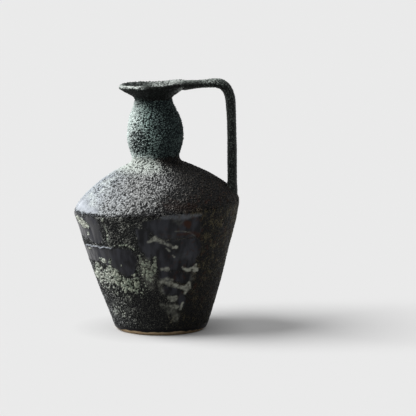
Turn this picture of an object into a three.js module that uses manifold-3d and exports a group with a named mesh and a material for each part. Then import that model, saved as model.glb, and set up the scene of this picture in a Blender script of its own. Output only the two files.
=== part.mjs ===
// A hand-built stoneware pitcher vase: slab foot, thrown cone, domed shoulder, bulb neck,
// dished mouth and one pulled strap handle, all luted together while the clay was soft.
// Millimetres, +Z up, the middle of the foot's resting face at the origin, the handle towards +X.
import * as THREE from 'three';
import { mergeVertices } from 'three/addons/utils/BufferGeometryUtils.js';
import Module from 'manifold-3d';

const wasm = await Module();
wasm.setup();

const { clamp, degToRad, lerp, smoothstep } = THREE.MathUtils;

// Foot slab
const FOOT_RADIUS = 49.6;
const SLAB_THICKNESS = 8;
const SLAB_TOP_RADIUS = 54.8;
const SLAB_EDGE_ROUND = 0.7;

// Thrown cone, from the floor to the sharp turn into the shoulder
const TURN_RADIUS = 95.3;
const CONE_HEIGHT = 144.2;
const CONE_BULGE = 1.7;
const CONE_WALL = 6;
const TURN_ROUNDING = 5;

// Domed shoulder, from the turn to the neck's hole
const SHOULDER_RISE = 52.5;
const SHOULDER_WALL = 6;
const NECK_BORE = 19.6;

// Bulb neck, from the shoulder to its widest ring and on to the throat
const BULB_RADIUS = 31.7;
const BULB_RISE = 26.4;
const NECK_RISE = 42.9;
const NECK_WALL = 5;
const THROAT_RADIUS = 21.2;

// Dished mouth, from the throat to the top of the lip
const MOUTH_RISE = 16;
const MOUTH_WALL = 4.8;
const MOUTH_SEAM_BEVEL = 2;
const RIM_RADIUS = 38.5;
const LIP_RADIUS = 2.1;

// Pulled strap handle: a level arm, a round elbow and an upright post
const STRAP_WIDTH = 21;
const ROOT_WIDTH = 24.4;
const POST_FOOT_WIDTH = 26.9;
const STRAP_SQUARENESS = 2.6;
const ARM_THICKNESS = 9;
const ARM_RISE = 2.3;
const ARM_SAG = 1.6;
const ELBOW_THICKNESS = 11.2;
const ELBOW_REACH = 21;
const ELBOW_DROP = 21.7;
const ELBOW_SETBACK = 2;
const POST_THICKNESS = 10.6;
const POST_INSET = 12.9;
const POST_FOOT_RISE = 9;

// Coils of clay pressed into the seams
const BASE_COIL_RADIUS = 3.5;
const TURN_COIL_RADIUS = 4;
const NECK_COIL_HEIGHT = 7;
const NECK_COIL_REACH = 9;
const NECK_COIL_EDGE = 0.5;

// Clearance between pieces that are luted together
const SEAM_GAP = 0.35;

// How the soft clay settled: sideways slides in millimetres, tilts in degrees,
// and the lift of the rim where the handle leaves it
const CONE_SLIDE = -4.2;
const SHOULDER_SLIDE = -1.4;
const MOUTH_SLIDE = -2.9;
const TURN_TILT = 4;
const BULB_TILT = 1.4;
const MOUTH_TILT = 0.8;
const RIM_DRAW = 4.2;
const SLIDE_ENDS = 0.75;
const TILT_STARTS = 0.82;

// Fullness of each curve: the shares across and along its box of its two pull points
const DOME_PULLS = [[0.184, 0.434], [0.604, 0.787]];
const BULB_LOWER_PULLS = [[0.394, 0.307], [1, 0.764]];
const BULB_UPPER_PULLS = [[0, 0.592], [1, 0.762]];
const CREASE_PULL = [1.15, 0.27];
const FLARE_PULLS = [[0.036, 0.386], [0.509, 0.454]];
const DISH_PULLS = [[0.444, 0.17], [1, 0.453]];

// Fineness of the solids
const AROUND = 48;
const COIL_SIDES = 8;
const STRAP_SIDES = 14;
const STRAP_STEPS = 44;
const STEPS = { cone: 7, turn: 6, dome: 11, bulbLower: 6, bulbUpper: 8, flare: 6, lip: 5, dish: 6, crease: 5 };

// Heights that follow from the rises
const TURN_HEIGHT = CONE_HEIGHT;
const SHOULDER_TOP = TURN_HEIGHT + SHOULDER_RISE;
const BULB_HEIGHT = SHOULDER_TOP + BULB_RISE;
const THROAT_HEIGHT = BULB_HEIGHT + NECK_RISE;
const RIM_HEIGHT = THROAT_HEIGHT + MOUTH_RISE;

const point = (r, z) => new THREE.Vector2(r, z);
const raised = (p, by) => point(p.x, p.y + by);

// Sideways slide and slope of the ring that was thrown at a given height
function settledAt(height) {
  const shoulderPart = smoothstep(height, TURN_HEIGHT, SHOULDER_TOP);
  const mouthPart = smoothstep(height, BULB_HEIGHT, RIM_HEIGHT);
  const turnPart = smoothstep(height, TURN_HEIGHT * TILT_STARTS, TURN_HEIGHT);
  const bulbPart = smoothstep(height, TURN_HEIGHT, BULB_HEIGHT);
  const slide = CONE_SLIDE * smoothstep(height, 0, TURN_HEIGHT * SLIDE_ENDS)
    + SHOULDER_SLIDE * shoulderPart
    + MOUTH_SLIDE * mouthPart;
  const tilt = TURN_TILT * turnPart
    + (BULB_TILT - TURN_TILT) * bulbPart
    + (MOUTH_TILT - BULB_TILT) * mouthPart;
  return { slide, slope: Math.tan(degToRad(tilt)) };
}

// How far the mouth is drawn up towards the handle
function drawnUp(x, height) {
  return RIM_DRAW * smoothstep(x, 0, RIM_RADIUS) * smoothstep(height, THROAT_HEIGHT, RIM_HEIGHT);
}

// Slides and tilts every ring of a turned shape
function settle(geometry) {
  const position = geometry.attributes.position;
  for (let i = 0; i < position.count; i += 1) {
    const height = position.getZ(i);
    const x = position.getX(i);
    const { slide, slope } = settledAt(height);
    position.setX(i, x + slide);
    position.setZ(i, height + x * slope + drawnUp(x, height));
  }
  return geometry;
}

// Keeps only positions, with shared corners merged and the flat triangles on the axis dropped
function merged(geometry) {
  geometry.deleteAttribute('normal');
  geometry.deleteAttribute('uv');
  const whole = mergeVertices(geometry, 1e-4);
  const corners = whole.index.array;
  const kept = [];
  for (let i = 0; i < corners.length; i += 3) {
    const [a, b, c] = corners.slice(i, i + 3);
    if (a !== b && b !== c && c !== a) kept.push(a, b, c);
  }
  whole.setIndex(kept);
  return whole;
}

// Turns an outline of radius and height about the upright axis, then lets it settle
function lathed(outline) {
  const geometry = new THREE.LatheGeometry(outline, AROUND);
  geometry.rotateX(Math.PI / 2);
  return merged(settle(geometry));
}

// The same for the outline of a ring, which closes on itself
const ring = (outline) => lathed([...outline, outline[0].clone()]);

// A Bezier curve between two points, pulled by shares of the box between them
function pullPoint(from, to, [across, along]) {
  return point(lerp(from.x, to.x, across), lerp(from.y, to.y, along));
}

function pulled(from, to, [first, second], steps) {
  const near = pullPoint(from, to, first);
  const far = pullPoint(from, to, second);
  return new THREE.CubicBezierCurve(from, near, far, to).getPoints(steps);
}

// An outline moved sideways along its own normals, to its left when the distance is positive
function offset(outline, distance) {
  return outline.map((here, i) => {
    const before = outline[Math.max(i - 1, 0)];
    const after = outline[Math.min(i + 1, outline.length - 1)];
    const along = after.clone().sub(before).normalize();
    return point(here.x - along.y * distance, here.y + along.x * distance);
  });
}

// Every second point of an outline, with both ends, for the inner faces that nobody sees
const thinned = (outline) => outline.filter((_, i) => i % 2 === 0 || i === outline.length - 1);

// The point of an outline at a given height ('y') or radius ('x')
function pointAt(outline, axis, value) {
  const next = outline.findIndex((p, i) => i > 0 && (p[axis] - value) * (outline[i - 1][axis] - value) <= 0);
  const [from, to] = [outline[next - 1], outline[next]];
  return from.clone().lerp(to, (value - from[axis]) / (to[axis] - from[axis]));
}

function arc(middle, radius, fromDegrees, toDegrees, steps) {
  return Array.from({ length: steps + 1 }, (_, i) => {
    const angle = degToRad(lerp(fromDegrees, toDegrees, i / steps));
    return point(middle.x + radius * Math.cos(angle), middle.y + radius * Math.sin(angle));
  });
}

// Closed solids for cutting
function toSolid(geometry) {
  const mesh = new wasm.Mesh({
    numProp: 3,
    vertProperties: new Float32Array(geometry.attributes.position.array),
    triVerts: new Uint32Array(geometry.index.array),
  });
  return new wasm.Manifold(mesh);
}

function toGeometry(solid) {
  const mesh = solid.getMesh();
  const geometry = new THREE.BufferGeometry();
  geometry.setAttribute('position', new THREE.BufferAttribute(mesh.vertProperties, 3));
  geometry.setIndex(new THREE.BufferAttribute(mesh.triVerts, 1));
  return geometry;
}

// Outer face of the cone, from the slab up to where the turn begins to round over
const wallFoot = point(SLAB_TOP_RADIUS, SLAB_THICKNESS + SEAM_GAP);
const turnCorner = point(TURN_RADIUS, TURN_HEIGHT);
const coneMiddle = wallFoot.clone().lerp(turnCorner, 0.5).add(point(2 * CONE_BULGE, 0));
const coneWay = turnCorner.clone().sub(coneMiddle).normalize();
const coneTop = turnCorner.clone().addScaledVector(coneWay, -TURN_ROUNDING);
const coneLine = new THREE.QuadraticBezierCurve(wallFoot, coneMiddle, coneTop).getPoints(STEPS.cone);
const coneInside = offset(coneLine, CONE_WALL);

// Outer face of the shoulder, from the turn to the neck's hole
const domeEnd = point(NECK_BORE, SHOULDER_TOP);
const domeLow = pullPoint(turnCorner, domeEnd, DOME_PULLS[0]);
const domeHigh = pullPoint(turnCorner, domeEnd, DOME_PULLS[1]);
const domeWay = domeLow.clone().sub(turnCorner).normalize();
const domeStart = turnCorner.clone().addScaledVector(domeWay, TURN_ROUNDING);
const domeLine = new THREE.CubicBezierCurve(domeStart, domeLow, domeHigh, domeEnd).getPoints(STEPS.dome);
const domeInside = offset(domeLine, SHOULDER_WALL);

// The rounded turn, parted where it is widest
const turnLine = new THREE.QuadraticBezierCurve(coneTop, turnCorner, domeStart).getPoints(STEPS.turn);
const lowerTurn = turnLine.slice(1, STEPS.turn / 2 + 1);
const upperTurn = turnLine.slice(STEPS.turn / 2, STEPS.turn);

// Outer face of the neck; its foot follows the dome that it stands on
const neckFootRadius = NECK_BORE + NECK_WALL;
const domeSlope = (domeHigh.y - domeEnd.y) / (domeHigh.x - domeEnd.x);
const neckFoot = point(neckFootRadius, SHOULDER_TOP + NECK_WALL * domeSlope + SEAM_GAP);
const bulb = point(BULB_RADIUS, BULB_HEIGHT);
const throat = point(THROAT_RADIUS, THROAT_HEIGHT);
const neckLine = [
  ...pulled(neckFoot, bulb, BULB_LOWER_PULLS, STEPS.bulbLower),
  ...pulled(bulb, throat, BULB_UPPER_PULLS, STEPS.bulbUpper).slice(1),
];

// Flared underside, rounded lip and dished inside of the mouth
const mouthBore = THROAT_RADIUS - MOUTH_WALL;
const mouthFloor = point(mouthBore, THROAT_HEIGHT - MOUTH_SEAM_BEVEL);
const lipMiddle = point(RIM_RADIUS - LIP_RADIUS, RIM_HEIGHT - LIP_RADIUS);
const lip = arc(lipMiddle, LIP_RADIUS, -50, 95, STEPS.lip);
const flare = pulled(raised(throat, SEAM_GAP), lip[0], FLARE_PULLS, STEPS.flare);
const dish = pulled(lip.at(-1), raised(mouthFloor, SEAM_GAP), DISH_PULLS, STEPS.dish);

// Foot slab: a flat disc whose edge is bevelled in towards the table
function baseSlab() {
  return lathed([
    point(0, 0),
    point(FOOT_RADIUS - SLAB_EDGE_ROUND, 0),
    point(FOOT_RADIUS, SLAB_EDGE_ROUND),
    point(lerp(FOOT_RADIUS, SLAB_TOP_RADIUS, 0.56), SLAB_THICKNESS / 2),
    point(SLAB_TOP_RADIUS, SLAB_THICKNESS),
    point(0, SLAB_THICKNESS),
  ]);
}

// Thrown cone: stands on the slab, and its top edge slopes inwards to seat the shoulder
function coneWall() {
  const insideFoot = point(wallFoot.x - CONE_WALL, wallFoot.y);
  return ring([...coneLine, ...lowerTurn, ...thinned(coneInside.slice(1).reverse()), insideFoot]);
}

// Shoulder: its lower edge plugs into the cone's sloping edge
function shoulderDome() {
  const [parting, ...rounding] = upperTurn;
  const hole = point(NECK_BORE, domeInside.at(-1).y);
  const inside = thinned(domeInside.slice(0, -1).reverse());
  const seat = raised(coneInside.at(-1), SEAM_GAP);
  return ring([raised(parting, SEAM_GAP), ...rounding, ...domeLine, hole, ...inside, seat]);
}

// Neck: stands on the shoulder round its hole, and its top edge slopes inwards to seat the mouth
function neckBulb() {
  const inside = thinned(offset(neckLine, NECK_WALL).slice(1, -1).reverse());
  const insideFoot = raised(domeEnd, SEAM_GAP);
  return ring([...neckLine, mouthFloor, ...inside, insideFoot]);
}

const mouthCollar = () => ring([...flare, ...lip.slice(1), ...dish.slice(1)]);

// A rolled coil of round section, laid in an inside corner
const rolledCoil = (middle, radius) => ring(arc(middle, radius, 0, 360, COIL_SIDES).slice(0, -1));

function baseCoil() {
  const seat = BASE_COIL_RADIUS + SEAM_GAP;
  const wall = pointAt(coneInside, 'y', SLAB_THICKNESS + seat);
  const lean = coneLine[1].clone().sub(coneLine[0]);
  const across = seat * Math.hypot(1, lean.x / lean.y);
  return rolledCoil(point(wall.x - across, wall.y), BASE_COIL_RADIUS);
}

function turnCoil() {
  const seat = TURN_COIL_RADIUS + SEAM_GAP;
  const corner = coneInside.at(-1).clone().lerp(domeInside[0], 0.5);
  const nearest = Math.min(coneInside.at(-1).x, domeInside[0].x);
  return rolledCoil(point(nearest - seat, corner.y), TURN_COIL_RADIUS);
}

// The coil worked into the crease between shoulder and neck, with a hollow outer face
function neckCoil() {
  const seatLine = offset(domeLine, -SEAM_GAP);
  const backLine = offset(neckLine, -SEAM_GAP);
  const foot = pointAt(seatLine, 'x', neckFootRadius + NECK_COIL_REACH);
  const top = pointAt(backLine, 'y', neckFoot.y + NECK_COIL_HEIGHT);
  const crease = pointAt(seatLine, 'x', backLine[0].x);
  const outerFoot = raised(foot, NECK_COIL_EDGE);
  const outerTop = point(top.x + NECK_COIL_EDGE, top.y);
  const hollow = pullPoint(outerFoot, outerTop, CREASE_PULL);
  const face = new THREE.QuadraticBezierCurve(outerFoot, hollow, outerTop).getPoints(STEPS.crease);
  const back = backLine.filter((p) => p.y > crease.y + SEAM_GAP && p.y < top.y);
  const seat = seatLine.filter((p) => p.x > crease.x && p.x < foot.x);
  return ring([...face, top, ...back.reverse(), crease, ...seat.reverse(), foot]);
}

// Middle line of the strap, in the upright plane of the handle
const spot = (x, z) => new THREE.Vector3(x, 0, z);
const armHeight = RIM_HEIGHT + ARM_RISE;
const postPlace = TURN_RADIUS - POST_INSET;
const postFoot = spot(postPlace, TURN_HEIGHT + POST_FOOT_RISE);
const root = spot(mouthBore, armHeight - 2.4 * ARM_SAG);
const elbowStart = spot(postPlace - ELBOW_REACH, armHeight);
const elbowEnd = spot(postPlace - ELBOW_SETBACK, armHeight - ELBOW_DROP);
const armPull = spot(elbowStart.x * 0.6, armHeight - ARM_SAG);
const elbowPulls = [
  spot(elbowStart.x + ELBOW_REACH * 0.57, armHeight + ARM_SAG / 4),
  spot(elbowEnd.x - ELBOW_SETBACK * 0.6, armHeight - ELBOW_DROP / 3),
];
const postPulls = [
  spot(postPlace - ELBOW_SETBACK / 5, elbowEnd.z - ELBOW_DROP),
  spot(postPlace, lerp(postFoot.z, armHeight, 0.4)),
];
const strapLine = new THREE.CurvePath();
strapLine.add(new THREE.QuadraticBezierCurve3(root, armPull, elbowStart));
strapLine.add(new THREE.CubicBezierCurve3(elbowStart, ...elbowPulls, elbowEnd));
strapLine.add(new THREE.CubicBezierCurve3(elbowEnd, ...postPulls, postFoot));
const [armEnds, elbowEnds] = strapLine.getCurveLengths().map((length) => length / strapLine.getLength());
const elbowMiddle = (armEnds + elbowEnds) / 2;

// Half thickness and half width of the strap at a share of its length
function strapSize(along) {
  const armPart = 1 - smoothstep(along, elbowMiddle / 2, elbowMiddle);
  const postPart = smoothstep(along, elbowMiddle, elbowMiddle * 1.6);
  const rootPart = 1 - smoothstep(along, 0.03, 0.16);
  const footPart = smoothstep(along, 0.88, 0.98);
  const width = STRAP_WIDTH
    + (ROOT_WIDTH - STRAP_WIDTH) * rootPart
    + (POST_FOOT_WIDTH - STRAP_WIDTH) * footPart;
  const thickness = ELBOW_THICKNESS
    + (ARM_THICKNESS - ELBOW_THICKNESS) * armPart
    + (POST_THICKNESS - ELBOW_THICKNESS) * postPart;
  const swelling = (STRAP_WIDTH + width) / (2 * STRAP_WIDTH);
  return { thick: (thickness / 2) * swelling, wide: width / 2 };
}

// A squared oval carried along the middle line
function strap() {
  const corners = Array.from({ length: STRAP_SIDES }, (_, i) => {
    const angle = (2 * Math.PI * i) / STRAP_SIDES;
    const squared = (v) => Math.sign(v) * Math.abs(v) ** (2 / STRAP_SQUARENESS);
    return point(squared(Math.cos(angle)), squared(Math.sin(angle)));
  });
  const shape = new THREE.Shape(corners);
  const geometry = new THREE.ExtrudeGeometry(shape, { depth: 1, steps: STRAP_STEPS, bevelEnabled: false });
  const position = geometry.attributes.position;
  for (let i = 0; i < position.count; i += 1) {
    const along = clamp(position.getZ(i), 0, 1);
    const { thick, wide } = strapSize(along);
    const way = strapLine.getTangentAt(along);
    const up = new THREE.Vector3(-way.z, 0, way.x);
    const placed = strapLine.getPointAt(along).addScaledVector(up, position.getY(i) * thick);
    position.setXYZ(i, placed.x, placed.y + position.getX(i) * wide, placed.z);
  }
  return toSolid(merged(geometry));
}

// An outer face grown by the seam gap and filled up to the axis
function filled(outline) {
  const grown = offset(outline, -SEAM_GAP);
  return toSolid(lathed([point(0, grown[0].y), ...grown, point(0, grown.at(-1).y)]));
}

// The strap's two ends are shaped to the mouth's flare and to the shoulder
function handleStrap() {
  const neckAndMouth = filled([...neckLine, ...flare, ...lip.slice(1)]);
  const shoulder = filled([...upperTurn, ...domeLine]);
  return toGeometry(strap().subtract(neckAndMouth).subtract(shoulder));
}

const pitcher = new THREE.Group();

function add(name, geometry, colour, roughness) {
  const material = new THREE.MeshStandardMaterial({ color: colour, roughness, metalness: 0 });
  const mesh = new THREE.Mesh(geometry, material);
  mesh.name = name;
  pitcher.add(mesh);
}

add('base_slab', baseSlab(), 0xa79e8d, 0.9);
add('base_seam_coil', baseCoil(), 0x8f8674, 0.9);
add('cone_wall', coneWall(), 0x2b2c2e, 0.35);
add('turn_seam_coil', turnCoil(), 0x8f8674, 0.9);
add('shoulder_dome', shoulderDome(), 0x6f6f7c, 0.85);
add('neck_seam_coil', neckCoil(), 0xa9b6ab, 0.85);
add('neck_bulb', neckBulb(), 0x3f5a56, 0.85);
add('mouth_collar', mouthCollar(), 0x2a302f, 0.8);
add('handle_strap', handleStrap(), 0x2b302f, 0.85);

export default pitcher;
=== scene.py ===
"""Looks of a hand-built stoneware pitcher vase with a crater glaze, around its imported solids.

Lengths are millimetres until a mesh is filled, and bearings are degrees about the upright axis:
0 is the handle's side, -90 faces the camera and 180 is the side that the key light reaches.
"""

import logging
import math
from dataclasses import dataclass
from enum import Enum

import bpy
import numpy as np
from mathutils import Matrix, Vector


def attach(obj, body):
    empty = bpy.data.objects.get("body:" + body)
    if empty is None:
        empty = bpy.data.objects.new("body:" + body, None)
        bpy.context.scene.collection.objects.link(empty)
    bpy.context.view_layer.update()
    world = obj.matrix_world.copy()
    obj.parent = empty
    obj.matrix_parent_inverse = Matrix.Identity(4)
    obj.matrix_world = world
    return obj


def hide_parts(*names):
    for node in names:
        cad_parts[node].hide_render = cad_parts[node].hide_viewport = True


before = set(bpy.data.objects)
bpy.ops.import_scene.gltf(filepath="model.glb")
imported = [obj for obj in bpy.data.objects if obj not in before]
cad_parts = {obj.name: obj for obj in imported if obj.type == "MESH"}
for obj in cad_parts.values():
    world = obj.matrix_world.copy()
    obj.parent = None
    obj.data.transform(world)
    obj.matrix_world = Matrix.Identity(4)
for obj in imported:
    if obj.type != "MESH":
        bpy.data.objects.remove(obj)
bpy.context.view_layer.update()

log = logging.getLogger("pitcher")
logging.basicConfig(level=logging.INFO, format="%(name)s: %(message)s")

MM = 0.001
GRAIN_LEVEL = 0.45  # grain height that lies level with the skin
Array = np.ndarray
Tree = bpy.types.NodeTree
Pulls = tuple[tuple[float, float], ...]

# Odd multipliers that scatter neighbouring whole numbers, as integer hashes use them
LATTICE_MIX = np.array([374761393, 668265263, 2147483647], np.uint32)
FIRST_MIX, SECOND_MIX = np.uint32(1274126177), np.uint32(2246822519)
TEN_BITS = np.uint32(1023)


def ease(value: Array | float, start: Array | float, end: Array | float) -> Array:
    """Smooth step: 0 before start, 1 after end, 3t^2 - 2t^3 between.

    Args:
        value: What is stepped.
        start: Where the step begins.
        end: Where it is complete; less than start turns the step round.

    Returns:
        The stepped values.
    """
    t = np.clip((value - start) / (end - start), 0.0, 1.0)
    return t * t * (3.0 - 2.0 * t)


def between(low: Array | float, high: Array | float, share: Array | float) -> Array | float:
    """Value at a share of the way from low to high."""
    return low + (high - low) * share


def linear(hexa: str) -> tuple[float, float, float, float]:
    """Linear colour of an sRGB hex colour.

    Args:
        hexa: Six hex digits.

    Returns:
        Red, green, blue and an alpha of 1.
    """
    parts = [int(hexa[i:i + 2], 16) / 255 for i in (0, 2, 4)]
    red, green, blue = (p / 12.92 if p <= 0.04045 else ((p + 0.055) / 1.055) ** 2.4 for p in parts)
    return red, green, blue, 1.0


# Noise on arrays of points


def scramble(cell: Array, seed: int) -> Array:
    """Repeatable random whole number for each lattice cell.

    Args:
        cell: Whole lattice coordinates, last axis x, y, z.
        seed: Picks one of many such fields.

    Returns:
        Unsigned 32-bit numbers, one per cell.
    """
    c = cell.astype(np.int64).astype(np.uint32)
    n = np.sum(c * LATTICE_MIX, axis=-1, dtype=np.uint32) + np.uint32(seed * 144665 + 1013)
    n = (n ^ (n >> np.uint32(13))) * FIRST_MIX
    n = (n ^ (n >> np.uint32(16))) * SECOND_MIX
    return n ^ (n >> np.uint32(15))


def swell(points: Array, size: float, seed: int, octaves: int = 1) -> Array:
    """Gradient noise from about -1 to 1: at each lattice corner a random slope, blended smoothly.

    Args:
        points: Positions in millimetres.
        size: Lattice spacing in millimetres.
        seed: Picks the field.
        octaves: Finer copies added at half the size and half the height each.

    Returns:
        One value per point.
    """
    total = np.zeros(points.shape[:-1])
    for octave in range(octaves):
        p = points / (size / 2 ** octave)
        base = np.floor(p)
        rest = p - base
        fade = rest ** 3 * (rest * (rest * 6 - 15) + 10)
        here = np.zeros_like(total)
        for corner in np.ndindex(2, 2, 2):
            step = np.array(corner, float)
            bits = scramble(base + step, seed + octave)
            turn = (bits & np.uint32(0xFFFF)) * (2 * math.pi / 65536)
            up = (bits >> np.uint32(16)) / 32767.5 - 1
            level = np.sqrt(1 - up * up)
            slope = np.stack([level * np.cos(turn), level * np.sin(turn), up], -1)
            weight = np.prod(np.where(step > 0, fade, 1 - fade), -1)
            here += weight * np.sum(slope * (rest - step), -1)
        total += here * 1.55 / 2 ** octave
    return total


def grains(points: Array, size: float, seed: int) -> tuple[Array, Array]:
    """Rounded cells: one random seed point a cell, and the distances to the two nearest of them.

    Args:
        points: Positions in millimetres.
        size: Cell size in millimetres.
        seed: Picks the field.

    Returns:
        Nearest and second nearest distance, as shares of the cell size.
    """
    p = points / size
    base = np.floor(p)
    first = np.full(points.shape[:-1], 9.0)
    second = first.copy()
    for corner in np.ndindex(3, 3, 3):
        cell = base + np.array(corner, float) - 1
        bits = scramble(cell, seed)
        inside = np.stack([bits & TEN_BITS, (bits >> np.uint32(10)) & TEN_BITS, bits >> np.uint32(22)], -1)
        gap = np.linalg.norm(cell + inside / TEN_BITS - p, axis=-1)
        second = np.minimum(second, np.maximum(gap, first))
        first = np.minimum(first, gap)
    return first, second


# Outlines: points of radius and height in millimetres


def spot(radius: float, height: float) -> Array:
    """One point of an outline."""
    return np.array([radius, height], float)


def bend(*pulls: Array, steps: int = 60) -> Array:
    """Bezier curve of three or four points.

    Args:
        pulls: First point, one or two pull points, last point.
        steps: How many points along the curve.

    Returns:
        The points.
    """
    t = np.linspace(0, 1, steps)[:, None]
    order = len(pulls) - 1
    return sum(math.comb(order, i) * (1 - t) ** (order - i) * t ** i * p for i, p in enumerate(pulls))


def pull(start: Array, end: Array, across: float, along: float) -> Array:
    """Pull point at shares across and along the box between two points."""
    return spot(between(start[0], end[0], across), between(start[1], end[1], along))


def sweep(start: Array, end: Array, *pulls: tuple[float, float], steps: int) -> Array:
    """Bezier curve whose pull points are shares of the box between its ends."""
    return bend(start, *(pull(start, end, *share) for share in pulls), end, steps=steps)


def lengths(line: Array) -> Array:
    """Distance along a line of points at each of them."""
    return np.concatenate([[0.0], np.cumsum(np.linalg.norm(np.diff(line, axis=0), axis=1))])


def even(line: Array, spacing: float) -> Array:
    """The same line with points at an even spacing.

    Args:
        line: Points of the line.
        spacing: Distance wanted between neighbours, in millimetres.

    Returns:
        The evenly spaced points, ends kept.
    """
    run = lengths(line)
    count = max(2, round(run[-1] / spacing) + 1)
    at = np.linspace(0, run[-1], count)
    return np.stack([np.interp(at, run, line[:, k]) for k in range(line.shape[1])], -1)


def beside(line: Array, distance: float) -> Array:
    """Line moved to its left by a distance, along its own normals.

    Args:
        line: Points of radius and height.
        distance: How far, in millimetres.

    Returns:
        The moved points.
    """
    way = np.gradient(line, axis=0)
    way /= np.linalg.norm(way, axis=1)[:, None]
    return line + distance * np.stack([-way[:, 1], way[:, 0]], -1)


@dataclass(frozen=True)
class Sizes:
    """Driving sizes of the pot, in millimetres, the same as those of its solids."""

    slab_radius: float = 54.8
    slab_height: float = 8.0
    foot_radius: float = 49.6
    turn_radius: float = 95.3
    turn_height: float = 144.2
    turn_rounding: float = 5.0
    cone_bulge: float = 1.7
    body_wall: float = 6.0
    shoulder_top: float = 196.7
    neck_bore: float = 19.6
    neck_wall: float = 5.0
    bulb_radius: float = 31.7
    bulb_height: float = 223.1
    throat_radius: float = 21.2
    throat_height: float = 266.0
    mouth_wall: float = 4.8
    rim_radius: float = 38.5
    rim_height: float = 282.0
    lip_radius: float = 2.1
    lip_arc: tuple[float, float] = (-50, 95)
    seam_drop: float = 2.0
    bulb_steps: int = 80
    dome_pulls: Pulls = ((0.184, 0.434), (0.604, 0.787))
    bulb_pulls: Pulls = ((0.394, 0.307), (1, 0.764))
    neck_pulls: Pulls = ((0, 0.592), (1, 0.762))
    flare_pulls: Pulls = ((0.036, 0.386), (0.509, 0.454))
    dish_pulls: Pulls = ((0.444, 0.17), (1, 0.453))

    def foot(self) -> Array:
        """Upper edge of the slab, where the cone starts."""
        return spot(self.slab_radius, self.slab_height)

    def turn(self) -> Array:
        """Sharp corner that the turn rounds over."""
        return spot(self.turn_radius, self.turn_height)

    def cone_pull(self) -> Array:
        """Pull point that gives the cone its slight bulge."""
        return (self.foot() + self.turn()) / 2 + spot(2 * self.cone_bulge, 0)

    def dome_pull(self, which: int) -> Array:
        """Pull point of the dome, between the turn and the neck's hole."""
        return pull(self.turn(), self.dome_end(), *self.dome_pulls[which])

    def off_turn(self, towards: Array) -> Array:
        """Where the rounding of the turn ends, on the way to a point."""
        way = towards - self.turn()
        return self.turn() + way / np.linalg.norm(way) * self.turn_rounding

    def cone(self) -> Array:
        """Outer line of the cone up to the start of the turn: a slightly bulged Bezier arc."""
        return bend(self.foot(), self.cone_pull(), self.off_turn(self.cone_pull()), steps=120)

    def rounding(self) -> Array:
        """The rounded turn from cone to dome."""
        start, end = self.off_turn(self.cone_pull()), self.off_turn(self.dome_pull(0))
        return bend(start, self.turn(), end, steps=61)

    def dome_end(self) -> Array:
        """Edge of the shoulder's hole."""
        return spot(self.neck_bore, self.shoulder_top)

    def dome(self) -> Array:
        """Outer line of the shoulder, from the turn's end to the neck's hole."""
        low, high = self.dome_pull(0), self.dome_pull(1)
        return bend(self.off_turn(low), low, high, self.dome_end(), steps=160)

    def neck_foot(self) -> Array:
        """Where the neck's outer face meets the shoulder, along the dome's last slope."""
        run = self.dome_pull(1) - self.dome_end()
        return self.dome_end() + self.neck_wall * spot(1, run[1] / run[0])

    def throat(self) -> Array:
        """Where the neck's outer face meets the mouth."""
        return spot(self.throat_radius, self.throat_height)

    def neck(self) -> Array:
        """Outer line of the neck: a bulb between the crease and the throat."""
        bulb = spot(self.bulb_radius, self.bulb_height)
        lower = sweep(self.neck_foot(), bulb, *self.bulb_pulls, steps=self.bulb_steps)
        upper = sweep(bulb, self.throat(), *self.neck_pulls, steps=120)
        return np.concatenate([lower, upper[1:]])

    def lip(self) -> Array:
        """Round lip: an arc about the lip's middle."""
        angle = np.radians(np.linspace(*self.lip_arc, 40))
        middle = spot(self.rim_radius - self.lip_radius, self.rim_height - self.lip_radius)
        return middle + self.lip_radius * np.stack([np.cos(angle), np.sin(angle)], -1)

    def flare(self) -> Array:
        """Underside of the mouth, from the throat to the lip."""
        return sweep(self.throat(), self.lip()[0], *self.flare_pulls, steps=80)

    def dish_floor(self) -> Array:
        """Where the dish ends and the neck's bore begins."""
        return self.throat() - spot(self.mouth_wall, self.seam_drop)

    def dish(self) -> Array:
        """Inside of the mouth, from the lip down into the throat."""
        return sweep(self.lip()[-1], self.dish_floor(), *self.dish_pulls, steps=80)


SIZES = Sizes()


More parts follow.
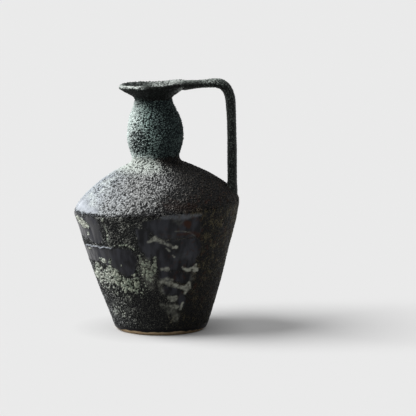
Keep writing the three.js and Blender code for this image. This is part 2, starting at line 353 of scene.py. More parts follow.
@dataclass(frozen=True)
class Settling:
    """How the soft clay slid and leaned ring by ring: millimetres sideways, degrees of tilt."""

    cone_slide: float = -4.2
    shoulder_slide: float = -1.4
    mouth_slide: float = -2.9
    turn_tilt: float = 4.0
    bulb_tilt: float = 1.4
    mouth_tilt: float = 0.8
    rim_draw: float = 4.2
    near_draw: float = 1.3
    far_draw: float = 0.9

    def place(self, radius: Array, height: Array, bearing: Array) -> Array:
        """Point of the settled pot for a radius, a thrown height and a bearing.

        Each ring slides along X by a smooth function of its height, tilts about Y by another,
        and the rim is drawn up on the handle's side, and a little on the near and far sides.

        Args:
            radius: Distance from the ring's own middle, in millimetres.
            height: Height at which the ring was thrown.
            bearing: Direction about the upright axis, in degrees.

        Returns:
            Positions in millimetres.
        """
        s = SIZES
        low = ease(height, s.turn_height, s.shoulder_top)
        high = ease(height, s.bulb_height, s.rim_height)
        slide = self.cone_slide * ease(height, 0, 0.75 * s.turn_height)
        slide = slide + self.shoulder_slide * low + self.mouth_slide * high
        tilt = self.turn_tilt * ease(height, 0.82 * s.turn_height, s.turn_height)
        tilt = tilt + (self.bulb_tilt - self.turn_tilt) * ease(height, s.turn_height, s.bulb_height)
        tilt = tilt + (self.mouth_tilt - self.bulb_tilt) * high
        x = radius * np.cos(np.radians(bearing))
        y = radius * np.sin(np.radians(bearing))
        drawn = self.rim_draw * ease(x, 0, s.rim_radius) * between(0.45, 1.0, ease(y, -20, 8))
        drawn = drawn + self.near_draw * ease(y, -8, -28) + self.far_draw * ease(y, 6, 24) * ease(x, 16, -8)
        drawn = drawn * ease(height, s.throat_height, s.rim_height)
        return np.stack([x + slide, y, height + x * np.tan(np.radians(tilt)) + drawn], -1)

    def rim_slide(self) -> float:
        """How far the rim's middle lies off the upright axis, in millimetres."""
        return self.cone_slide + self.shoulder_slide + self.mouth_slide


SETTLING = Settling()


# The glaze: where it pools, crusts and breaks, and where light and shade are painted into its colour


class Mask(Enum):
    """What the glaze does at a point, or where light and shade are painted on it; each is stored on the mesh
    as an attribute of that name.
    """

    CREST = "crest"
    SHADE_SIDE = "shade_side"
    MINT_AND_HIGHLIGHT = "mint_and_highlight"
    SMOKE = "dark_and_shade"
    CRUST = "crust"
    CHALK = "chalk"
    POOL = "pool"
    BLOOM = "bloom_and_sheen"
    RUST = "rust"


class Noise(Enum):
    """Noise fields of the glaze: lattice spacing in millimetres, seed and octaves."""

    EDGE = (7.0, 11, 1)
    FRAY = (2.6, 17, 1)
    PATCHES = (16.0, 43, 2)
    SIDES = (34.0, 5, 2)
    FRECKLES = (5.0, 23, 2)
    MOTTLE = (3.4, 67, 2)
    CLUSTERS = (9.0, 47, 2)
    STREAKS = (5.0, 91, 2)
    DRIPS = (7.0, 61, 1)
    VEINS = (5.5, 101, 2)
    VEIN_GAPS = (9.9, 106, 1)
    CLOUDS = (9.0, 59, 2)
    FRINGE = (4.0, 59, 2)
    WOBBLE = (46.0, 71, 2)
    CLAY_EDGE = (9.0, 83, 2)

    def at(self, points: Array, squash: float = 1.0) -> Array:
        """The field at some points, whose heights are squashed first, which draws it out upright."""
        return swell(points * np.array([1.0, 1.0, squash]), *self.value)


@dataclass(frozen=True)
class Span:
    """Range over which something sets in; an end below the start turns the step round."""

    start: float
    end: float

    def of(self, value: Array) -> Array:
        """Share from 0 at the start to 1 at the end."""
        return ease(value, self.start, self.end)


@dataclass(frozen=True)
class Skin:
    """Where the points of a skin lie: settled position, bearing, thrown height and radius."""

    points: Array
    bearing: Array
    height: Array
    radius: Array

    def first(self, rows: int) -> "Skin":
        """The first rows alone."""
        return Skin(self.points[:rows], self.bearing[:rows], self.height[:rows], self.radius[:rows])

    def away(self) -> Array:
        """Degrees away from the handle, 0 to 180, made uneven by slow noise."""
        return np.abs(self.bearing) + 12 * Noise.SIDES.at(self.points)


@dataclass(frozen=True)
class Patch:
    """A patch of glaze: a stroke over the wall, its reach changing along the way.

    The path gives bearing in degrees, thrown height and reach in millimetres. Then come how
    strongly the patch covers, and over how many millimetres its edge fades.
    """

    path: tuple[tuple[float, float, float], ...]
    strength: float = 1.0
    soft: float = 1.0

    def cover(self, skin: Skin, ragged: Array) -> Array:
        """How fully the patch covers each point.

        The wall is unrolled about each end of the stroke, the distance to the stroke is taken off
        its reach there, an uneven edge is added, and the result is stepped smoothly from 0 to 1.

        Args:
            skin: Where the points lie.
            ragged: Noise in millimetres that makes the edge uneven.

        Returns:
            Cover from 0 to the patch's strength.
        """
        best = np.full(skin.bearing.shape, -99.0)
        ends = self.path if len(self.path) > 1 else self.path * 2
        for (turn_a, high_a, reach_a), (turn_b, high_b, reach_b) in zip(ends[:-1], ends[1:]):
            across = np.radians((skin.bearing - turn_a + 180) % 360 - 180) * skin.radius
            along = skin.height - high_a
            wide = np.radians(turn_b - turn_a) * skin.radius
            tall = high_b - high_a
            share = np.clip((across * wide + along * tall) / (wide * wide + tall * tall + 1e-6), 0, 1)
            gap = np.hypot(across - share * wide, along - share * tall)
            reach = between(reach_a, reach_b, share)
            best = np.maximum(best, reach - gap + ragged * np.clip(reach / 5, 0.2, 1))
        return self.strength * ease(best, -self.soft, self.soft)


POOLS = (
    Patch(((-176, 127, 17), (-152, 127, 16), (-141, 131, 12)), 1.0, 1.5),
    Patch(((-152, 127, 16), (-141, 119, 12)), 1.0, 1.5),
    Patch(((-168, 92, 8), (-140, 94, 9), (-118, 91, 13.5), (-114, 92, 12)), 1.0, 1.2),
    Patch(((-118, 86, 11), (-115.5, 82.5, 10)), 1.0, 0.8),
    Patch(((-100, 124, 7), (-98, 108, 7), (-84, 104, 12), (-62, 104, 13)), 1.0, 1.5),
    Patch(((-96, 134, 6), (-84, 129, 12), (-64, 129, 12)), 1.0, 2.0),
    Patch(((-96, 99, 4.5), (-96, 96, 3)), 1.0, 0.8),
    Patch(((-84, 88, 9), (-62, 88, 8)), 1.0, 1.5),
    Patch(((-84, 74, 6), (-64, 70, 6)), 1.0, 1.5),
    Patch(((-81, 56, 5), (-70, 52, 4)), 1.0, 1.5),
    Patch(((-69, 46, 5), (-66, 38, 4)), 1.0, 1.5),
)
# Pale smooth glaze on the shoulder next to the lamp: milky glaze, painted paler as a stand-in for the lamp's
# reflection
BLOOMS_AND_SHEENS = (
    Patch(((-178, 152, 4), (-166, 153.5, 6), (-150, 150.5, 2)), 1.0, 6.0),
    Patch(((-152, 150.5, 4.5), (-144, 150, 3.2), (-136, 149.2, 1.4)), 0.6, 2.0),
)
# Painted sheen: a pale highlight line along the turn and faint pale veils on the dark pools
PAINTED_SHEENS = (
    Patch(((-86, 142, 1.2), (-76, 141.2, 2.6), (-70, 140.6, 2.8), (-57, 140, 1.0)), 0.19, 1.6),
    Patch(((-86, 121, 3), (-78, 120, 5), (-74, 117, 4)), 0.045, 4.0),
    Patch(((-100, 127, 12), (-66, 124, 13)), 0.014, 6.0),
    Patch(((-98, 106, 9), (-66, 102, 12)), 0.014, 6.0),
    Patch(((-74, 96, 4), (-64, 97, 5)), 0.05, 4.0),
)
CRUSTS = (
    Patch(((-164, 135, 6.0), (-155, 132.5, 8.5), (-150, 129, 5.5)), 1.5, 1.5),
    Patch(((-150.5, 117.5, 2.2),), 1.6, 0.7),
    Patch(((-159, 99, 1.0), (-153, 98.5, 1.3)), 1.0, 0.6),
    Patch(((-142, 88, 2.2), (-137, 87.5, 2.6)), 1.4, 0.7),
    Patch(((-131.5, 86, 1.5), (-129.5, 90.5, 1.6)), 1.2, 0.6),
    Patch(((-120, 84, 1.0),), 1.2, 0.6),
    Patch(((-155, 73, 4), (-149, 79, 4.5), (-146, 77, 3.5)), 1.3),
    Patch(((-137, 75, 4.5), (-133, 77, 5), (-127, 74, 4.5)), 1.2),
    Patch(((-162, 66, 5), (-148, 67, 6), (-134, 68, 6), (-124, 65, 7)), 1.2),
    Patch(((-124, 62, 6), (-111, 60, 7), (-107, 68, 4)), 0.85, 2.0),
    Patch(((-122, 55, 3), (-116, 56, 4)), 0.65),
    Patch(((-152, 56, 7), (-128, 52, 10), (-106, 55, 7)), 0.34, 6.0),
    Patch(((-144, 28, 9), (-131, 24, 9)), 0.3, 8.0),
    Patch(((-102.5, 97, 0.9), (-101.5, 88, 2.6), (-98, 79, 5)), 1.1),
    Patch(((-90.5, 97, 1.0), (-91, 88, 2.4), (-93, 79, 4)), 1.0),
    Patch(((-97, 90, 3), (-96, 78, 7), (-97, 70, 5)), 0.58, 2.0),
    Patch(((-111, 72.5, 1.2), (-105.5, 78, 2.0)), 0.8),
    Patch(((-100, 80, 6), (-98, 72, 8), (-98, 64, 7)), 0.38, 5.0),
    Patch(((-127, 106, 0.8), (-119, 108.5, 1.0), (-112, 109.5, 1.0), (-106, 104, 0.8)), 0.6, 0.9),
    Patch(((-129, 142, 1.2), (-128.5, 126, 1.6), (-128, 110, 1.2)), 0.7, 1.5),
)
CHALKS = (
    Patch(((-163, 134.5, 3.5), (-155, 132, 6.5), (-151, 129, 4)), 0.6, 1.5),
    Patch(((-95.5, 113.5, 1.0), (-91, 118, 2.8), (-87, 115.5, 2.3), (-83, 112, 1.6)), 0.75),
    Patch(((-83, 112, 1.3), (-79, 109.5, 1.6)), 0.6, 1.0),
    Patch(((-76.5, 107.5, 1.8), (-75, 107.5, 2.3)), 1.7),
    Patch(((-82, 106.5, 0.7), (-79.5, 103, 0.8)), 0.6, 0.8),
    Patch(((-77, 98, 0.5), (-75.5, 95.5, 0.9)), 0.8, 0.7),
    Patch(((-85, 81.5, 1.8), (-80.5, 81.5, 2.2)), 0.7, 1.2),
    Patch(((-68, 82.5, 1.0), (-64, 79, 1.6), (-57, 79.5, 2.2), (-55.5, 84, 1.7)), 1.3),
    Patch(((-57.5, 79, 2.8), (-54, 78.5, 2.2)), 1.5),
    Patch(((-57, 76, 2.0), (-58, 68, 2.5)), 0.22, 3.0),
    Patch(((-86, 67, 2.4), (-82, 67.5, 3.7), (-77, 63.5, 3.0)), 0.75, 1.8),
    Patch(((-80, 70, 1.2), (-76.5, 68.5, 1.2)), 0.5, 1.2),
    Patch(((-77, 63.5, 2.2), (-71, 60, 1.9), (-65.5, 57.5, 1.6)), 0.85),
    Patch(((-64.5, 57, 2.4), (-61.5, 58.5, 3.4), (-60.5, 62.5, 2.3)), 0.95, 1.4),
    Patch(((-61.5, 58, 2.8), (-64, 52, 1.8)), 0.9, 1.4),
    Patch(((-89.5, 66, 1.5), (-87, 58, 2.5), (-85.5, 53, 2.0)), 0.22, 2.2),
    Patch(((-79, 46.5, 2.4), (-75.5, 45, 3.6), (-73.5, 46.5, 2.4)), 0.65, 1.2),
    Patch(((-87, 38, 2.2), (-81.5, 36, 2.4), (-79, 28, 2.0)), 0.26, 2.5),
    Patch(((-77.5, 37, 2.2), (-72, 35, 2.8)), 0.85, 1.8),
    Patch(((-75, 30, 4.5), (-72, 22, 4.0)), 0.36, 3.0),
    Patch(((-66, 40, 1.2), (-68, 32, 1.6)), 1.1),
    Patch(((-77, 126, 0.3), (-71, 125.6, 0.4), (-65, 123.5, 0.3), (-60, 119, 0.3)), 0.45, 0.6),
    Patch(((-78, 137, 1.5), (-73, 135, 2.5)), 0.14, 2.0),
    Patch(((-98, 91, 3.5), (-97, 82, 7), (-97, 72, 8), (-97, 64, 6)), 0.23, 4.0),
    Patch(((-102.5, 95, 0.9), (-101.5, 86, 2.2)), 0.4, 1.2),
    Patch(((-90.5, 96, 1.0), (-91, 88, 1.8)), 0.4, 1.2),
)
CALMS = (
    Patch(((-108, 48, 6), (-102, 36, 13), (-98, 22, 14)), 1.0, 9.0),
)
RUSTS = (
    Patch(((-68.5, 133, 2.6), (-66, 131, 3)), 1.0, 1.6),
    Patch(((-74, 122, 1.2), (-62, 123, 1.6), (-57, 119, 2.2)), 0.7, 1.6),
    Patch(((-80, 152, 3), (-62, 150, 3)), 0.24, 5.0),
)


@dataclass(frozen=True)
class Ridge:
    """A narrow raised edge of glaze, where one run stopped over another.

    The path gives bearing in degrees and thrown height; reach and lift are millimetres.
    """

    path: tuple[tuple[float, float], ...]
    reach: float
    lift: float

    def stroke(self, skin: Skin, rise: float = 0.0) -> Array:
        """Cover of the ridge: full on its interpolated and slightly wavy path, fading over its reach.

        Args:
            skin: Where the points lie.
            rise: How much higher a line beside the ridge lies, in millimetres.

        Returns:
            Cover from 0 to 1.
        """
        turn, level = np.array(self.path, float).T
        bearing = skin.bearing
        wander = 0.3 * np.sin(np.radians(bearing * 61 + 40))
        inside = ease(bearing, turn[0] - 1, turn[0] + 3) * ease(bearing, turn[-1] + 1, turn[-1] - 6)
        gap = np.abs(skin.height - np.interp(bearing, turn, level) - wander - rise)
        return inside * ease(gap, self.reach, 0.15 * self.reach)


RUN_EDGE = Ridge((
    (-164, 101), (-152, 102.8), (-149, 102), (-143.5, 103.8), (-138, 102.6),
    (-133, 104.5), (-127, 103.4), (-123.5, 107),
), 0.9, 1.4)


@dataclass(frozen=True)
class Crater:
    """Grain of the crater glaze in one place: cell size and height in millimetres, share of pale crest.

    The last field is how softly the crest colour steps into the pit colour, as grain height.
    """

    size: float
    lift: float
    cover: float
    soft: float

    def grain(self, points: Array, seed: int) -> Array:
        """Height of the crater grain, 0 in the pits to 1 on the crests.

        Rounded cells fall off with distance from their seed points, broken by finer noise; the
        points are first pushed about by noise, so that no grain is a plain ball.

        Args:
            points: Positions in millimetres.
            seed: Picks the field.

        Returns:
            Grain height for each point.
        """
        push = np.stack([swell(points, self.size * 1.3, seed + k) for k in (1, 2, 3)], -1)
        first, second = grains(points + 0.35 * self.size * push, self.size, seed)
        fine = swell(points, self.size * 0.6, seed + 7)
        coarse = swell(points, self.size * 2.4, seed + 9)
        return np.clip(0.95 - 1.15 * first + 0.35 * (second - first) + 0.34 * fine + 0.2 * coarse, 0, 1)


def lit(crest: Array, cover: Array, soft: Array) -> Array:
    """Share of pale crest colour: the grain height stepped softly about 1 less the cover."""
    return ease(crest, 1 - cover - soft, 1 - cover + soft)


Coating = tuple[dict[Mask, Array], Array]


@dataclass(frozen=True)
class GlazeCoat:
    """The fired glaze as fields over the pot: what covers each point, and how far it stands proud; some
    fields also paint light and shade into its colour.

    Spans are degrees away from the handle, bearings or thrown heights.
    """

    shoulder: Crater = Crater(1.95, 1.8, 0.55, 0.22)
    wall: Crater = Crater(2.6, 1.5, 0.04, 0.22)
    crust: Crater = Crater(3.2, 2.3, 0.68, 0.14)
    neck: Crater = Crater(2.0, 2.7, 0.6, 0.18)
    mouth: Crater = Crater(2.2, 1.8, 0.32, 0.15)
    strap: Crater = Crater(2.1, 1.1, 0.32, 0.15)
    wall_seed: int = 31
    crust_seed: int = 37
    plain_seed: int = 53
    wobble_lift: float = 0.5
    pool_lift: float = 0.45
    drip_lift: float = 0.6
    crust_lift: float = 0.35
    groove_rise: float = 1.9
    strays: int = 34
    # Bearings over which the side turned from the lamp sets in; in the colour it steers painted shade
    dusk: Span = Span(108, 58)
    turn_edge: Span = Span(2.0, 4.0)
    edge_wander: tuple[float, float] = (0.5, 4.0)
    freckle_foot: Span = Span(20, 70)
    freckle_head: Span = Span(180, 150)
    low_heights: Span = Span(62, 30)
    low_bearings: Span = Span(-110, -134)
    grey_heights: Span = Span(100, 112)
    grey_middle: float = -119
    grey_reach: Span = Span(16, 9)
    streak_heights: Span = Span(40, 95)
    # This and the next three spans make the shoulder's crest paler towards the lamp: painted light
    lit_side: Span = Span(105, 165)
    lit_heights: Span = Span(160, 178)
    hem_heights: Span = Span(170, 158)
    hem_side: Span = Span(104, 124)
    # This and the next span darken the shoulder's crest away from the lamp and on its slope turned from it:
    # painted shade
    light_falloff: Span = Span(102, 52)
    dome_shade: Span = Span(88, 46)
    crease_heights: Span = Span(180, 191)
    crease_side: Span = Span(40, 80)
    # Pale green-white crest on the shoulder's lit side: painted highlight
    highlight_side: Span = Span(120, 160)
    # Bearings over which darker copies of the crest, crust and pool colours set in away from the lamp:
    # painted shade
    shade_bearings: Span = Span(158, 104)
    foot_heights: Span = Span(2.0, 9.0)

    def invented(self) -> tuple[list[Patch], list[Patch]]:
        """Patches for the side that the photograph doesn't show, drawn at random from a fixed seed.

        Pools hang in two rows below the turn, and crusts lie between and under them as on the front.

        Returns:
            The pools and the crusts.
        """
        draw = np.random.default_rng(41)
        pools, crusts = [], []
        for turn in np.arange(8, 178, 32):
            for row in (126, 96):
                at, level = turn + draw.uniform(-9, 9), row + draw.uniform(-6, 6)
                reach, drop = draw.uniform(8, 14), draw.uniform(4, 16)
                end = (at + draw.uniform(-12, 12), level - drop, 0.7 * reach)
                pools.append(Patch(((at, level, reach), end), 1.0, 1.5))
        for _ in range(self.strays):
            turn, level = draw.uniform(4, 184), draw.triangular(24, 74, 122)
            reach = draw.uniform(1.2, 4.6)
            end = (turn + draw.uniform(-9, 9), level + draw.uniform(-7, 7), 0.7 * reach)
            crusts.append(Patch(((turn, level, reach), end), draw.uniform(0.5, 1.0)))
        return pools, crusts

    def veins(self, points: Array) -> Array:
        """Thin crooked ridges: 1 along the zero lines of a flattened noise field, 0 away from them."""
        line = 1 - 3.6 * np.abs(Noise.VEINS.at(points, 1.6))
        return np.clip(line * (0.7 + 0.8 * Noise.VEIN_GAPS.at(points)), 0, 1)

    def laid(self, patches: list[Patch] | tuple[Patch, ...], skin: Skin, ragged: Array) -> Array:
        """Fullest cover of several patches at each point."""
        return np.max([patch.cover(skin, ragged) for patch in patches], axis=0)

    def body(self, skin: Skin) -> Coating:
        """Masks and lift over the cone, the shoulder and the crease.

        Args:
            skin: Where the points lie.

        Returns:
            The masks by name, and the lift in millimetres.
        """
        points, bearing, height = skin.points, skin.bearing, skin.height
        turn = SIZES.turn_height
        ragged = 1.9 * Noise.EDGE.at(points) + 1.1 * Noise.FRAY.at(points)
        patchy = Noise.PATCHES.at(points)
        away = skin.away()
        # Share of the side turned from the lamp; where it darkens the colour below, that is painted shade
        dark = self.dusk.of(away)
        above = self.turn_edge.of(height - turn + between(*self.edge_wander, dark) * ragged)

        # Where crusts, pools, milky glaze, rust and chalk lie, and where sheen is painted
        pools, crusts = self.invented()
        crust = self.laid([*CRUSTS, *crusts], skin, ragged)
        lumps = self.crust.grain(points, self.crust_seed)
        crust = ease(crust + 0.7 * (lumps - GRAIN_LEVEL), 0.25, 0.7) * ease(crust, 0.02, 0.12)
        pool = self.laid([*POOLS, *pools], skin, ragged) * (1 - above) * (1 - crust)
        bloom_and_sheen = self.laid(BLOOMS_AND_SHEENS, skin, ragged) * above
        painted_haze = self.laid(PAINTED_SHEENS, skin, ragged) * (1 - above)
        ridge, groove = RUN_EDGE.stroke(skin), RUN_EDGE.stroke(skin, self.groove_rise)
        freckle = ease(Noise.FRECKLES.at(points), 0.3, 0.62)
        freckle = freckle * self.freckle_foot.of(height) * self.freckle_head.of(height)
        rust = np.maximum(self.laid(RUSTS, skin, ragged), 0.45 * dark * freckle)
        mottle = 0.75 + 0.8 * Noise.MOTTLE.at(points)
        chalk = np.clip(self.laid(CHALKS, skin, 1.5 * ragged) * mottle, 0, 1)

        # How much of the grain is pale: on the wall in clusters and streaks; on the shoulder paler towards
        # the lamp and darker away from it, which is painted light and shade
        crest = between(self.shoulder.grain(points, self.wall_seed), lumps, crust)
        crest = np.maximum(crest, self.veins(points) * (1 - above) * (1 - crust))
        low = self.low_heights.of(height) * self.low_bearings.of(bearing)
        grey = self.grey_heights.of(height) * self.grey_reach.of(np.abs(bearing - self.grey_middle))
        wall = self.wall.cover + 0.1 * patchy + 0.3 * Noise.CLUSTERS.at(points)
        wall = wall + 0.12 * low + 0.14 * grey - 0.2 * self.laid(CALMS, skin, ragged)
        wall = wall + dark * self.streak_heights.of(height) * (0.15 + 0.34 * Noise.STREAKS.at(points, 0.4))
        # Pale crest share on the shoulder: raised towards the lamp, lowered away from it and on the dome's
        # slope turned from it, which is painted light and shade
        slant = away + 0.9 * np.minimum(height - 165, 9) - 2.0 * np.maximum(height - 190, 0)
        pale = self.lit_side.of(away) * between(0.14, -0.09, self.lit_heights.of(height))
        pale = self.shoulder.cover + pale + 0.05 * self.hem_heights.of(height) * self.hem_side.of(away)
        pale = pale - 0.52 * self.light_falloff.of(slant) + 0.1 * patchy
        cover = between(between(wall, pale, above), self.crust.cover, crust)
        # Dark crest colour away from the lamp and on the dome's slope turned from it: painted shade
        dark_and_shade = between(dark, self.dome_shade.of(slant), above)
        # Pale green-white crest in the crease, and on the shoulder's lit side as painted highlight
        mint_and_highlight = self.crease_heights.of(height) * self.crease_side.of(away - 2.0 * np.maximum(height - 190, 0))
        mint_and_highlight = np.maximum(mint_and_highlight, 0.5 * above * ease(patchy, -0.1, 0.5) * self.highlight_side.of(away))
        soft = between(between(self.wall.soft, 0.32, low), between(self.shoulder.soft, 0.1, dark), above)
        soft = between(between(soft, self.crust.soft, mint_and_highlight), self.crust.soft, crust)
        share = lit(crest, cover + 0.2 * mint_and_highlight, soft)

        # How far the glaze stands proud: grain where it is dry, drips where it pooled
        drips = Noise.DRIPS.at(points, 0.3)
        lift = between(between(self.wall.lift, self.shoulder.lift, above), self.crust.lift, crust)
        lift = lift * (crest - GRAIN_LEVEL) * (1 - 0.95 * np.maximum(pool, 0.9 * bloom_and_sheen))
        lift = lift * between(1, 0.7, dark * (1 - above)) * (1 - 0.8 * chalk) + 0.3 * chalk
        lift = lift + (self.pool_lift + self.drip_lift * drips) * pool + self.crust_lift * crust
        lift = (lift + RUN_EDGE.lift * (ridge - 0.4 * groove)) * self.foot_heights.of(height)
        # Below, darker copies of the colours away from the lamp and in the groove above the run's edge are
        # painted shade; the pale milky mask also carries painted sheen and a painted highlight on the run's
        # raised edge
        masks = {
            Mask.CREST: share, Mask.SHADE_SIDE: np.maximum(self.shade_bearings.of(away), groove),
            Mask.MINT_AND_HIGHLIGHT: mint_and_highlight, Mask.SMOKE: dark_and_shade * (1 - crust), Mask.CRUST: crust,
            Mask.CHALK: chalk, Mask.POOL: np.maximum(pool, bloom_and_sheen), Mask.RUST: rust,
            Mask.BLOOM: np.clip((0.8 + 0.25 * drips) * bloom_and_sheen + ridge + painted_haze, 0, 1),
        }
        return masks, lift

    def plain(self, points: Array, crater: Crater, cover: Array, mint_and_highlight: Array, dark_and_shade: Array) -> Coating:
        """Masks and lift over the neck, the mouth and the handle, which carry crater glaze alone.

        The grain is lower and steps more softly into the pit colour where shade is painted.

        Args:
            points: Settled positions in millimetres.
            crater: Grain of the glaze there.
            cover: What is added to the grain's share of pale crest.
            mint_and_highlight: Share of pale green-white crest: the crease's own colour, and painted
                highlight on lit places.
            dark_and_shade: Share of dark crest colour: painted shade, and on the mouth and handle partly the
                glaze's own dark colour.

        Returns:
            The masks by name, and the lift in millimetres.
        """
        crest = crater.grain(points, self.plain_seed)
        pale = crater.cover + 0.08 * Noise.CLOUDS.at(points) + cover
        share = lit(crest, pale, crater.soft + 0.16 * dark_and_shade)
        masks = dict.fromkeys(Mask, np.zeros_like(crest))
        masks |= {Mask.CREST: share, Mask.MINT_AND_HIGHLIGHT: mint_and_highlight, Mask.SMOKE: dark_and_shade}
        return masks, crater.lift * (crest - GRAIN_LEVEL) * (1 - 0.4 * dark_and_shade)

    def wobble(self, points: Array) -> Array:
        """Slow unevenness of a wall shaped by hand, in millimetres."""
        return self.wobble_lift * Noise.WOBBLE.at(points)


COAT = GlazeCoat()


# Meshes


def fill(name: str, grid: Array, closed: bool, masks: dict[Mask, Array]) -> bpy.types.Object:
    """Mesh of quads over a grid of points, joined round its columns.

    A grid whose rows also close is a ring; otherwise each end is closed by a fan about its middle.

    Args:
        name: Name of the piece.
        grid: Points in millimetres, rows by columns.
        closed: Whether the last row joins the first.
        masks: Values stored on the points.

    Returns:
        The piece, at the origin.
    """
    rows, columns = grid.shape[:2]
    number = np.arange(rows * columns).reshape(rows, columns)
    lower = number if closed else number[:-1]
    upper = np.roll(number, -1, 0) if closed else number[1:]
    quads = np.stack([lower, np.roll(lower, -1, 1), np.roll(upper, -1, 1), upper], -1).reshape(-1, 4)
    points = grid.reshape(-1, 3)
    fans = np.zeros((0, 3), int)
    if not closed:
        points = np.concatenate([points, [grid[0].mean(0), grid[-1].mean(0)]])
        foot, head = rows * columns, rows * columns + 1
        first = np.stack([np.full(columns, foot), np.roll(number[0], -1), number[0]], -1)
        last = np.stack([np.full(columns, head), number[-1], np.roll(number[-1], -1)], -1)
        fans = np.concatenate([first, last])
    mesh = bpy.data.meshes.new(name)
    mesh.vertices.add(len(points))
    mesh.vertices.foreach_set("co", (points * MM).astype(np.float32).ravel())
    mesh.loops.add(quads.size + fans.size)
    mesh.loops.foreach_set("vertex_index", np.concatenate([quads.ravel(), fans.ravel()]).astype(np.int32))
    sides = np.concatenate([np.full(len(quads), 4), np.full(len(fans), 3)])
    mesh.polygons.add(len(sides))
    mesh.polygons.foreach_set("loop_start", np.concatenate([[0], np.cumsum(sides)[:-1]]).astype(np.int32))
    mesh.polygons.foreach_set("use_smooth", np.ones(len(sides), bool))
    mesh.update(calc_edges=True)
    mesh.validate()
    for mask, values in masks.items():
        whole = np.concatenate([values.ravel(), np.zeros(len(points) - values.size)])
        mesh.attributes.new(mask.value, "FLOAT", "POINT").data.foreach_set("value", whole.astype(np.float32))
    piece = bpy.data.objects.new(name, mesh)
    bpy.context.scene.collection.objects.link(piece)
    return piece


def outward(grid: Array, closed: bool) -> Array:
    """Unit normals of a grid: the cross product of its column and row directions.

    Args:
        grid: Points, rows by columns.
        closed: Whether the last row joins the first.

    Returns:
        One normal a point.
    """
    around = np.roll(grid, -1, 1) - np.roll(grid, 1, 1)
    along = np.roll(grid, -1, 0) - np.roll(grid, 1, 0) if closed else np.gradient(grid, axis=0)
    normal = np.cross(around, along)
    return normal / np.maximum(np.linalg.norm(normal, axis=-1, keepdims=True), 1e-9)


def thrown(line: Array, around: int) -> Skin:
    """Skin of a line turned about the upright axis and left to settle.

    Args:
        line: Points of radius and height.
        around: How many points each ring has.

    Returns:
        Where the points lie, rows by columns.
    """
    turns = np.linspace(-180, 180, around, endpoint=False)
    radius, bearing = np.meshgrid(line[:, 0], turns, indexing="ij")
    height = np.repeat(line[:, 1:], around, 1)
    return Skin(SETTLING.place(radius, height, bearing), bearing, height, radius)


@dataclass
class Piece:
    """A visible piece of the pot, which takes the place of its plain solid."""

    node: str
    slot: str

    def dress(self, grid: Array, closed: bool, masks: dict[Mask, Array]) -> bpy.types.Object:
        """Fills the piece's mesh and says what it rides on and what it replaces.

        Args:
            grid: Points in millimetres, rows by columns.
            closed: Whether the last row joins the first.
            masks: Values stored on the points.

        Returns:
            The piece.
        """
        piece = fill(self.node + "_skin", grid, closed, masks)
        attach(piece, "root")
        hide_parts(self.node)
        return piece


@dataclass
class Turned(Piece):
    """A piece turned on the wheel: a fine outer skin and a plain inner one, closed into one wall."""

    spacing: float = 1.0
    around: int = 600
    still: Span = Span(4, 30)

    def outer(self) -> Array:
        """Line of the glazed skin, in the order that keeps the wall on its left."""
        raise NotImplementedError

    def inner(self) -> Array:
        """Line of the hidden skin, which closes the wall."""
        raise NotImplementedError

    def coat(self, skin: Skin) -> Coating:
        """Glaze over the skin; the body's unless a piece says otherwise."""
        return COAT.body(skin)

    def build(self) -> bpy.types.Object:
        """Turns the two lines, lets them settle, lays the glaze on the skin and fills the mesh.

        Returns:
            The piece.
        """
        line, back = even(self.outer(), self.spacing), self.inner()
        rows = len(line)
        whole = thrown(np.concatenate([line, back]), self.around)
        skin = whole.first(rows)
        masks, lift = self.coat(skin)
        lift = lift + COAT.wobble(skin.points) * self.still.of(skin.height)
        grid, normal = whole.points.copy(), outward(whole.points, True)
        grid[:rows] += lift[..., None] * normal[:rows]
        bare = np.zeros((len(back), self.around))
        masks = {mask: np.concatenate([values, bare]) for mask, values in masks.items()}
        # Inner skins take the dark crest colour: painted shade inside the pot
        masks[Mask.SMOKE][rows:] = 1.0
        return self.dress(grid, True, masks)


@dataclass
class ConeWall(Turned):
    """The thrown cone, from the slab to the middle of the turn."""

    node: str = "cone_wall"
    slot: str = "gloss_glaze"
    spacing: float = 0.9
    around: int = 580

    def outer(self) -> Array:
        """Cone and the lower half of the rounding."""
        return np.concatenate([SIZES.cone(), SIZES.rounding()[1:31]])

    def inner(self) -> Array:
        """The cone's line set in by the wall, from the seat of the shoulder down."""
        return even(beside(SIZES.cone(), SIZES.body_wall)[::-1], 14)


@dataclass
class ShoulderDome(Turned):
    """The domed shoulder, from the turn to the neck's hole."""

    node: str = "shoulder_dome"
    slot: str = "crater_glaze"
    spacing: float = 0.72
    around: int = 690

    def outer(self) -> Array:
        """Upper half of the rounding and the dome."""
        return np.concatenate([SIZES.rounding()[30:], SIZES.dome()[1:]])

    def inner(self) -> Array:
        """The dome's line set in by the wall."""
        return even(beside(SIZES.dome(), SIZES.body_wall)[::-1], 12)


@dataclass
class Crease(Turned):
    """The collar of clay worked into the crease between shoulder and neck."""

    node: str = "neck_seam_coil"
    slot: str = "crease_glaze"
    spacing: float = 0.6
    around: int = 400
    reach: float = 9.0
    rise: float = 7.0
    sunk: float = 0.1
    hollow: tuple[float, float] = (1.15, 0.27)

    def outer(self) -> Array:
        """Hollow curve from the dome up to the neck, its ends just under their skins."""
        dome, neck = SIZES.dome(), SIZES.neck()[:SIZES.bulb_steps]
        far, high = SIZES.neck_foot() + spot(self.reach, self.rise)
        foot = spot(far, np.interp(-far, -dome[:, 0], dome[:, 1]) - self.sunk)
        top = spot(np.interp(high, neck[:, 1], neck[:, 0]) - self.sunk, high)
        return sweep(foot, top, self.hollow, steps=40)

    def inner(self) -> Array:
        """One point under the crease, inside the clay."""
        return (SIZES.neck_foot() - spot(1, 1))[None]


